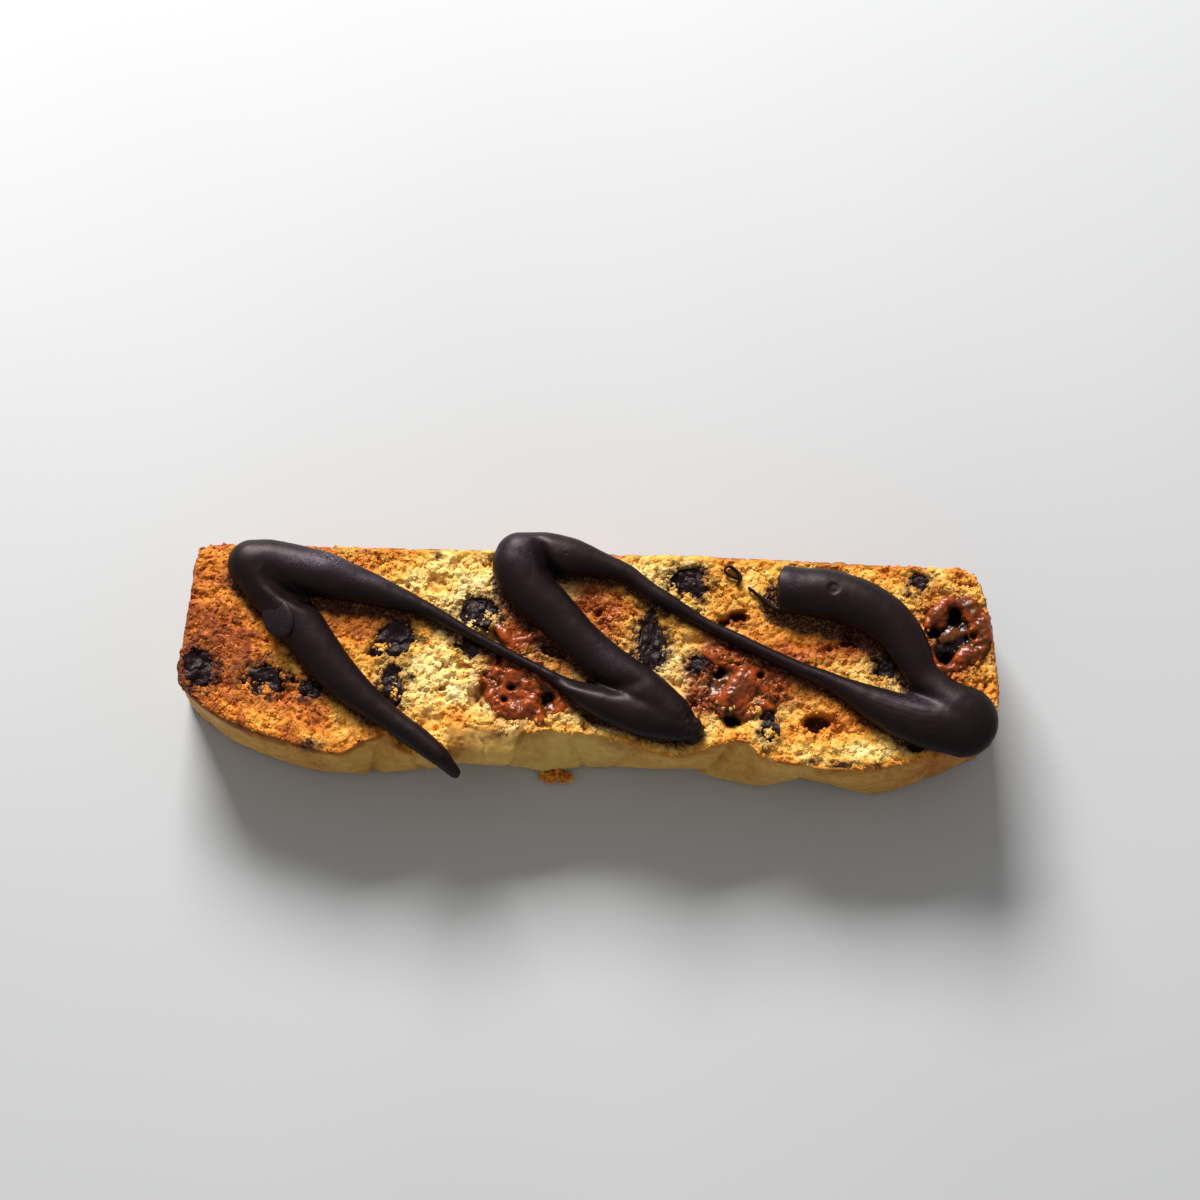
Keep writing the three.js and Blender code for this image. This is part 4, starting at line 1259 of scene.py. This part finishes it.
def caramel_strands(node, random):
    """The strands of an inclusion's folds, as (points, faces) pairs."""
    strands = []
    for level, route in CARAMEL_FOLDS.get(node) or loose_loops(node, random):
        points, faces = piped_stroke(route, 0.35, 16, lambda w: 1.1 + 0.25 * w, 1.2, level - 2.3)
        if node_box(node)[1][2] < THICKNESS / 2:
            points[:, 2] = THICKNESS - points[:, 2]
            faces = [f[:, ::-1] for f in faces]
        strands.append((points, faces))
    return strands


def set_caramel(number, node):
    """A piece of caramel and how deep each point lies, less where it swells, as painted shade and
    light for its colour: a broken lump and its strands are melted together, swollen by beads and
    noise, and sunk by exp(-q) of a hole's depth round each. The first piece is a ring of folds
    round a hollow, so its lump is cut off deeper."""
    ring_shaped = number == 0
    lump = broken_lump(node, 30, 40, 500 + 10 * number, 1.6 if ring_shaped else 0.7)
    strands = caramel_strands(node, np.random.default_rng(40 + number))
    points, faces = join_arrays([lump, *strands])
    points, faces = melted_together(node, points, faces, 0.2 * MM, 6)
    bead, _, _ = nearest_seed(points, 2.0, 600 + number)
    rough = smooth(0.1, 0.5, layered_noise(points, 3.0, 660))
    swell = 0.3 * (dome(bead, 0.85) - 0.55) + 0.28 * layered_noise(points, 1.3, 620 + number)
    swell += 0.2 * layered_noise(points, 0.6, 640 + number) * rough
    points = points + point_normals(points, faces) * swell[:, None]
    face = THICKNESS if points[0, 2] > THICKNESS / 2 else 0.0
    for x, y, reach in CARAMEL_HOLES if face else ():
        q = ((points[:, 0] - x) ** 2 + (points[:, 1] - y) ** 2) / reach ** 2
        q *= 1 + 0.6 * layered_noise(points, 1.4, 670)
        points[:, 2] -= HOLE_DEPTH * np.exp(-q) * smooth(face - 5, face - 3, points[:, 2])
    points[:, 2] = np.maximum(points[:, 2], 0.02)
    # Painted shade and light: the colour value grows with depth and falls where the caramel swells.
    depth = np.abs(face - points[:, 2]) / 1.7 - 0.9 * swell + 0.1 * ring_shaped
    return points, faces, np.clip(depth, 0, 1)


class BISCOTTI_OT_caramel(bpy.types.Operator):
    """Make the pieces of set caramel, each a low lump with glossy strands folded over it"""
    bl_idname = "biscotti.caramel"
    bl_label = "Caramel"

    def execute(self, context):
        for number, node in enumerate(CARAMEL_NODES):
            points, faces, depth = set_caramel(number, node)
            piece = build_mesh(f"set_{node}", points, faces, {"hollow": depth})
            finish_piece(piece, caramel_material(), (node,))
        return {'FINISHED'}


# ---------------------------------------------------------------------------------------------
# Piped chocolate
# ---------------------------------------------------------------------------------------------

def smooth_route(route, step):
    """A route's points at even steps along the curve that passes through each of them, with the
    slope there of the chord between its neighbours."""
    knots = np.array(route, dtype=float)
    padded = np.concatenate([[2 * knots[0] - knots[1]], knots, [2 * knots[-1] - knots[-2]]])
    t = np.linspace(0, 1, 40, endpoint=False)[None, :, None]
    p0, p1, p2, p3 = (padded[k:len(padded) - 3 + k, None] for k in range(4))
    curve = 0.5 * (2 * p1 + (p2 - p0) * t + (2 * p0 - 5 * p1 + 4 * p2 - p3) * t ** 2
                   + (3 * p1 - p0 - 3 * p2 + p3) * t ** 3)
    dense = np.concatenate([curve.reshape(-1, knots.shape[1]), knots[-1:]])
    steps = np.linalg.norm(np.diff(dense[:, :2], axis=0), axis=1)
    lengths = np.concatenate([[0], np.cumsum(steps)])
    count = max(int(lengths[-1] / step), 4)
    even = np.linspace(0, lengths[-1], count + 1)
    return np.stack([np.interp(even, lengths, column) for column in dense.T], axis=1)


def piped_stroke(route, step, around, height_of, foot_depth, lift=0.0):
    """A piped line: rings along a smooth route, each an oval that is taller above its middle than
    it is deep below, with ends that shrink to a point along a quarter circle."""
    line = smooth_route(route, step)
    heading = np.gradient(line[:, :2], axis=0)
    heading /= np.linalg.norm(heading, axis=1, keepdims=True)
    angles = np.radians([80, 64, 48, 32, 16])
    rounds = len(angles)
    half = line[:, 2] / 2
    start = line[0, :2] - heading[0] * half[0] * np.sin(angles)[:, None]
    end = line[-1, :2] + heading[-1] * half[-1] * np.sin(angles[::-1])[:, None]
    middle = np.concatenate([start, line[:, :2], end])
    shrink = np.concatenate([np.cos(angles), np.ones(len(line)), np.cos(angles[::-1])])
    width = np.pad(line[:, 2], rounds, mode="edge")
    heading = np.pad(heading, ((rounds, rounds), (0, 0)), mode="edge")
    top = height_of(width)
    droop = OVERHANG_SLOPE * np.maximum(0, OVERHANG - middle[:, 1])
    centre = THICKNESS + lift + 0.25 * top - droop
    turn = np.linspace(0, 2 * np.pi, around, endpoint=False)
    above = THICKNESS + 0.3 + lift + top - droop - centre
    below = centre + droop - THICKNESS - lift + foot_depth
    rise = np.sin(turn)[None]
    reach = np.where(rise > 0, above[:, None], below[:, None])
    z = centre[:, None] + rise * reach * shrink[:, None]
    side = np.stack([-heading[:, 1], heading[:, 0]], axis=1)
    out = np.cos(turn)[None] * (width / 2 * shrink)[:, None]
    x = middle[:, 0, None] - side[:, 0, None] * out
    y = middle[:, 1, None] - side[:, 1, None] * out
    rings = np.stack([x, y, z], axis=-1)
    poles = rings[[0, -1]].mean(axis=1)
    points = np.concatenate([rings.reshape(-1, 3), poles])
    return points, tube_faces(len(rings), around)


def join_arrays(parts):
    """Several closed shapes, each as points and faces, as one. A shape's first faces are quads
    and the others are its fans."""
    points = np.concatenate([p for p, _ in parts])
    starts = np.cumsum([0] + [len(p) for p, _ in parts])[:-1]
    quads = np.concatenate([f[0] + s for (_, f), s in zip(parts, starts)])
    fans = np.concatenate([fan + s for (_, f), s in zip(parts, starts) for fan in f[1:]])
    return points, [quads, fans]


def melted_together(name, points, faces, voxel, passes):
    """Overlapping closed shapes joined into one skin on a voxel grid, and then relaxed: each pass
    moves every point halfway to the mean of its neighbours."""
    rough = build_mesh(name + "_strokes", points, faces)
    remesh = rough.modifiers.new("Join", 'REMESH')
    remesh.mode = 'VOXEL'
    remesh.voxel_size = voxel
    mesh = rough.evaluated_get(bpy.context.evaluated_depsgraph_get()).to_mesh()
    count = len(mesh.vertices)
    joined = read_array(mesh.vertices, "co", 3) / MM
    ends = read_array(mesh.edges, "vertices", 2, np.int32)
    corners = read_array(mesh.loops, "vertex_index", kind=np.int32)
    if np.any(read_array(mesh.polygons, "loop_total", kind=np.int32) != 4):
        raise RuntimeError("the joined skin isn't all quads")
    bpy.data.objects.remove(rough)
    both = np.concatenate([ends, ends[:, ::-1]])
    degree = np.maximum(np.bincount(both[:, 0], minlength=count), 1)
    for _ in range(passes):
        near = joined[both[:, 1]]
        mean = np.stack([np.bincount(both[:, 0], near[:, axis], count) for axis in range(3)], axis=1)
        joined = 0.5 * joined + 0.5 * mean / degree[:, None]
    return joined, [corners.reshape(-1, 4)]


def flat_tongue():
    """A flattened ball: its height is a low power of a ball's, for a flat top and a round rim;
    it slopes with the stroke it hangs from, and is turned about Z."""
    middle, half, turn, slopes = TONGUE
    ball, faces = ball_grid(28, 48)
    points = ball * half
    points[:, 2] = np.sign(ball[:, 2]) * np.abs(ball[:, 2]) ** 0.6 * half[2]
    points[:, 2] += points[:, :2] @ np.array(slopes)
    c, s = math.cos(math.radians(turn)), math.sin(math.radians(turn))
    x, y = points[:, 0] * c - points[:, 1] * s, points[:, 0] * s + points[:, 1] * c
    return np.stack([x, y, points[:, 2]], axis=1) + middle, faces


def carved_chocolate(points):
    """The joined strokes with their valleys pressed in, each by its depth times exp(-q²) with q
    in units of 1.15 mm, and with the last stroke's end pushed flat where it was cut off."""
    for valley in VALLEYS:
        away, depth = line_distance(points, valley)
        points[:, 2] -= depth * np.exp(-(away / 1.15) ** 2) * smooth(17.6, 19.0, points[:, 2])
    x, y = points[:, 0], points[:, 1]
    end = BLUNT_END + 0.3 * layered_noise(points, 2.4, 331) + 0.035 * (y - 12.0) ** 2
    cut_off = (x < BLUNT_END + 1) & (x > BLUNT_CORNER[0]) & (y > BLUNT_CORNER[1]) & (x < end)
    points[:, 0] = np.where(cut_off, end - 0.12 * (end - x), x)
    return points


def chocolate_swell(points, normals):
    """How far the chocolate's skin stands out: slow unevenness, dimples with rims for the burst
    bubbles, fine ridges along one stroke, and a torn end on another."""
    swell = 0.12 * layered_noise(points, 5.0, 301) + 0.02 * layered_noise(points, 1.2, 311)
    top = smooth(0.2, 0.5, normals[:, 2])
    for x, y, radius, depth, rim in BUBBLES:
        away = np.hypot(points[:, 0] - x, points[:, 1] - y) / radius
        swell += top * (rim * np.exp(-((away - 1.1) / 0.22) ** 2) - depth * smooth(1.0, 0.6, away))
    away, _ = line_distance(points, STROKES[3][7:])
    start, end = RIDGED_STRETCH
    ridged = smooth(start, start + 12, points[:, 0]) * smooth(end, end - 6, points[:, 0])
    ridged = ridged * smooth(4.6, 3.4, away)
    swell += 0.014 * top * ridged * np.cos(2 * np.pi * away / RIDGE_SPACING)
    torn = smooth(14.5, 17.5, points[:, 0]) * smooth(24, 22, points[:, 0])
    torn = torn * smooth(-7, -9, points[:, 1])
    return swell + 0.4 * torn * layered_noise(points, 1.1, 321)


def finish_chocolate(name, points, faces, bloom_and_sheen, material, replaced=()):
    """A piece of piped chocolate, bloomed and given painted sheen by the given shares."""
    piece = build_mesh(name, points, faces, {"bloom_and_sheen": np.broadcast_to(bloom_and_sheen, len(points))})
    finish_piece(piece, material, replaced)


class BISCOTTI_OT_drizzle(bpy.types.Operator):
    """Pipe the chocolate zigzag, its pulled-out thread and the loose curl"""
    bl_idname = "biscotti.drizzle"
    bl_label = "Piped chocolate"

    def execute(self, context):
        size = context.scene.biscotti_drizzle
        colours = tuple(size.colour), tuple(size.lighter)
        material = chocolate_material("Piped chocolate", *colours, 0.44, 0.03)

        def height_of(width):
            """Three quarters of a thin line's width, and flatter the wider it is."""
            return np.minimum(np.minimum(0.75 * width, 1.1 + 0.33 * width), size.greatest_height)

        lines = [piped_stroke(route, size.ring_step, 32, height_of, 0.9)
                 for route in (*STROKES, *RAGGED_TIPS)]
        points, faces = join_arrays(lines)
        points, faces = melted_together("piped_chocolate", points, faces, size.voxel, 10)
        points = carved_chocolate(points)
        normals = point_normals(points, faces)
        points = points + normals * chocolate_swell(points, normals)[:, None]
        # Painted sheen: the bloom value is kept off the sides that face away from the lamp behind the
        # slice.
        bloom_and_sheen = patches(points, BLOOM_AND_SHEEN) * smooth(0.0, 0.6, normals[:, 1] + 0.4)
        finish_chocolate("piped_chocolate", points, faces, np.clip(bloom_and_sheen, 0, 1), material,
                         ("chocolate_drizzle",))
        random = np.random.default_rng(3)
        dusty = np.flatnonzero((bloom_and_sheen > 0.35) & (points[:, 0] < DUST_END))
        places = points[random.choice(dusty, DUST_COUNT)]
        radii = random.uniform(0.03, 0.07, DUST_COUNT)
        grain_piece("dust_on_chocolate", places, radii, random, 0.3)
        finish_chocolate("chocolate_tongue", *flat_tongue(), 0.08, material)
        for name, route in (("pulled_thread", THREAD), ("chocolate_curl", CURL)):
            skin = piped_stroke(route, 0.15, 12, lambda width: 0.8 * width, 0.35)
            finish_chocolate(name, *skin, 0.0, material)
        return {'FINISHED'}


# ---------------------------------------------------------------------------------------------
# The stage
# ---------------------------------------------------------------------------------------------

# The stage, in metres: how far the floor reaches and how far it lies under the slice, the lamp's
# place, aim and sides, and the camera's aim.
FLOOR_REACH = 3.0
FLOOR_GAP = 0.0002
LAMP_PLACE = (-0.22, 0.78, 0.53)
LAMP_AIM = (0.0, 0.0, 0.01)
LAMP_SIDES = (0.45, 0.32)
CAMERA_AIM = (0.0015, 0.0098, THICKNESS * MM)


def lay_floor():
    """A pale floor, very slightly mottled."""
    reach = FLOOR_REACH / MM
    corners = np.array([(-reach, -reach, 0), (reach, -reach, 0), (reach, reach, 0), (-reach, reach, 0)])
    floor = build_mesh("floor", corners, [np.array([(0, 1, 2, 3)])])
    floor.location.z = -FLOOR_GAP
    material = bpy.data.materials.new("Pale floor")
    material.use_nodes = True
    tree = material.node_tree
    noise = add_node(tree, "ShaderNodeTexNoise", {"Scale": 6.0})
    tree.links.new(tree.nodes.new("ShaderNodeTexCoord").outputs["Object"], noise.inputs["Vector"])
    shader = tree.nodes["Principled BSDF"]
    tree.links.new(ramp(tree, noise.outputs["Fac"], FLOOR_COLOURS), shader.inputs["Base Color"])
    set_sockets(shader, {"Roughness": 0.6})
    floor.data.materials.append(material)
    return floor


def aim_at(thing, target):
    """Turns a lamp or camera so that it looks at a point, with its top up."""
    direction = Vector(target) - thing.location
    thing.rotation_euler = direction.to_track_quat('-Z', 'Y').to_euler()


def add_light(scene, key_power, fill):
    """An even light from all round, and a large soft lamp behind the slice."""
    world = bpy.data.worlds.new("Even light")
    world.use_nodes = True
    background = world.node_tree.nodes["Background"]
    set_sockets(background, {"Color": (1.0, 0.985, 0.96, 1.0), "Strength": fill})
    scene.world = world
    key = bpy.data.lights.new("window", 'AREA')
    key.shape = 'RECTANGLE'
    key.size, key.size_y = LAMP_SIDES
    key.energy = key_power
    key.color = (1.0, 0.985, 0.965)
    lamp = bpy.data.objects.new("window", key)
    scene.collection.objects.link(lamp)
    lamp.location = LAMP_PLACE
    aim_at(lamp, LAMP_AIM)


def add_camera(scene, azimuth, elevation, distance, lens):
    """A camera at a distance from its aim, turned round it and raised by two angles."""
    camera = bpy.data.objects.new("camera", bpy.data.cameras.new("camera"))
    scene.collection.objects.link(camera)
    back = np.array([math.sin(azimuth) * math.cos(elevation),
                     -math.cos(azimuth) * math.cos(elevation), math.sin(elevation)])
    camera.location = CAMERA_AIM + back * distance
    camera.data.lens = lens
    camera.data.sensor_width = 36.0
    camera.data.clip_start = 0.01
    aim_at(camera, CAMERA_AIM)
    scene.camera = camera


class BISCOTTI_OT_stage(bpy.types.Operator):
    """Lay the pale floor and set the light and the camera"""
    bl_idname = "biscotti.stage"
    bl_label = "Stage"

    def execute(self, context):
        scene = context.scene
        stage = scene.biscotti_stage
        floor = lay_floor()
        add_light(scene, stage.key_power, stage.fill)
        add_camera(scene, stage.azimuth, stage.elevation, stage.distance, stage.lens)
        scene.view_settings.view_transform = 'Standard'
        return {'FINISHED'}


# ---------------------------------------------------------------------------------------------
# The panel, and the run
# ---------------------------------------------------------------------------------------------

class BISCOTTI_PT_panel(bpy.types.Panel):
    """The makers of the slice, in order"""
    bl_idname = "BISCOTTI_PT_panel"
    bl_label = "Biscotti"
    bl_space_type = 'VIEW_3D'
    bl_region_type = 'UI'
    bl_category = "Biscotti"

    def draw(self, context):
        for operator in OPERATORS:
            self.layout.operator(operator.bl_idname)
        for group in SETTINGS:
            settings = getattr(context.scene, group)
            for key in settings.__annotations__:
                self.layout.prop(settings, key)


OPERATORS = (BISCOTTI_OT_slice, BISCOTTI_OT_grains, BISCOTTI_OT_chocolate_chunks,
             BISCOTTI_OT_caramel, BISCOTTI_OT_drizzle, BISCOTTI_OT_stage)
SETTINGS = {"biscotti_slice": SliceSettings, "biscotti_drizzle": DrizzleSettings,
            "biscotti_stage": StageSettings}


def register():
    """Makes the settings, the operators and the panel known."""
    for group in (*SETTINGS.values(), *OPERATORS, BISCOTTI_PT_panel):
        bpy.utils.register_class(group)
    for key, group in SETTINGS.items():
        setattr(bpy.types.Scene, key, bpy.props.PointerProperty(type=group))


def unregister():
    """Takes away what register made known."""
    for key in SETTINGS:
        delattr(bpy.types.Scene, key)
    for group in (BISCOTTI_PT_panel, *reversed(OPERATORS), *SETTINGS.values()):
        bpy.utils.unregister_class(group)


def main():
    """Makes every piece in order."""
    register()
    bpy.ops.biscotti.slice()
    bpy.ops.biscotti.grains()
    bpy.ops.biscotti.chocolate_chunks()
    bpy.ops.biscotti.caramel()
    bpy.ops.biscotti.drizzle()
    bpy.ops.biscotti.stage()


if __name__ == "__main__":
    main()
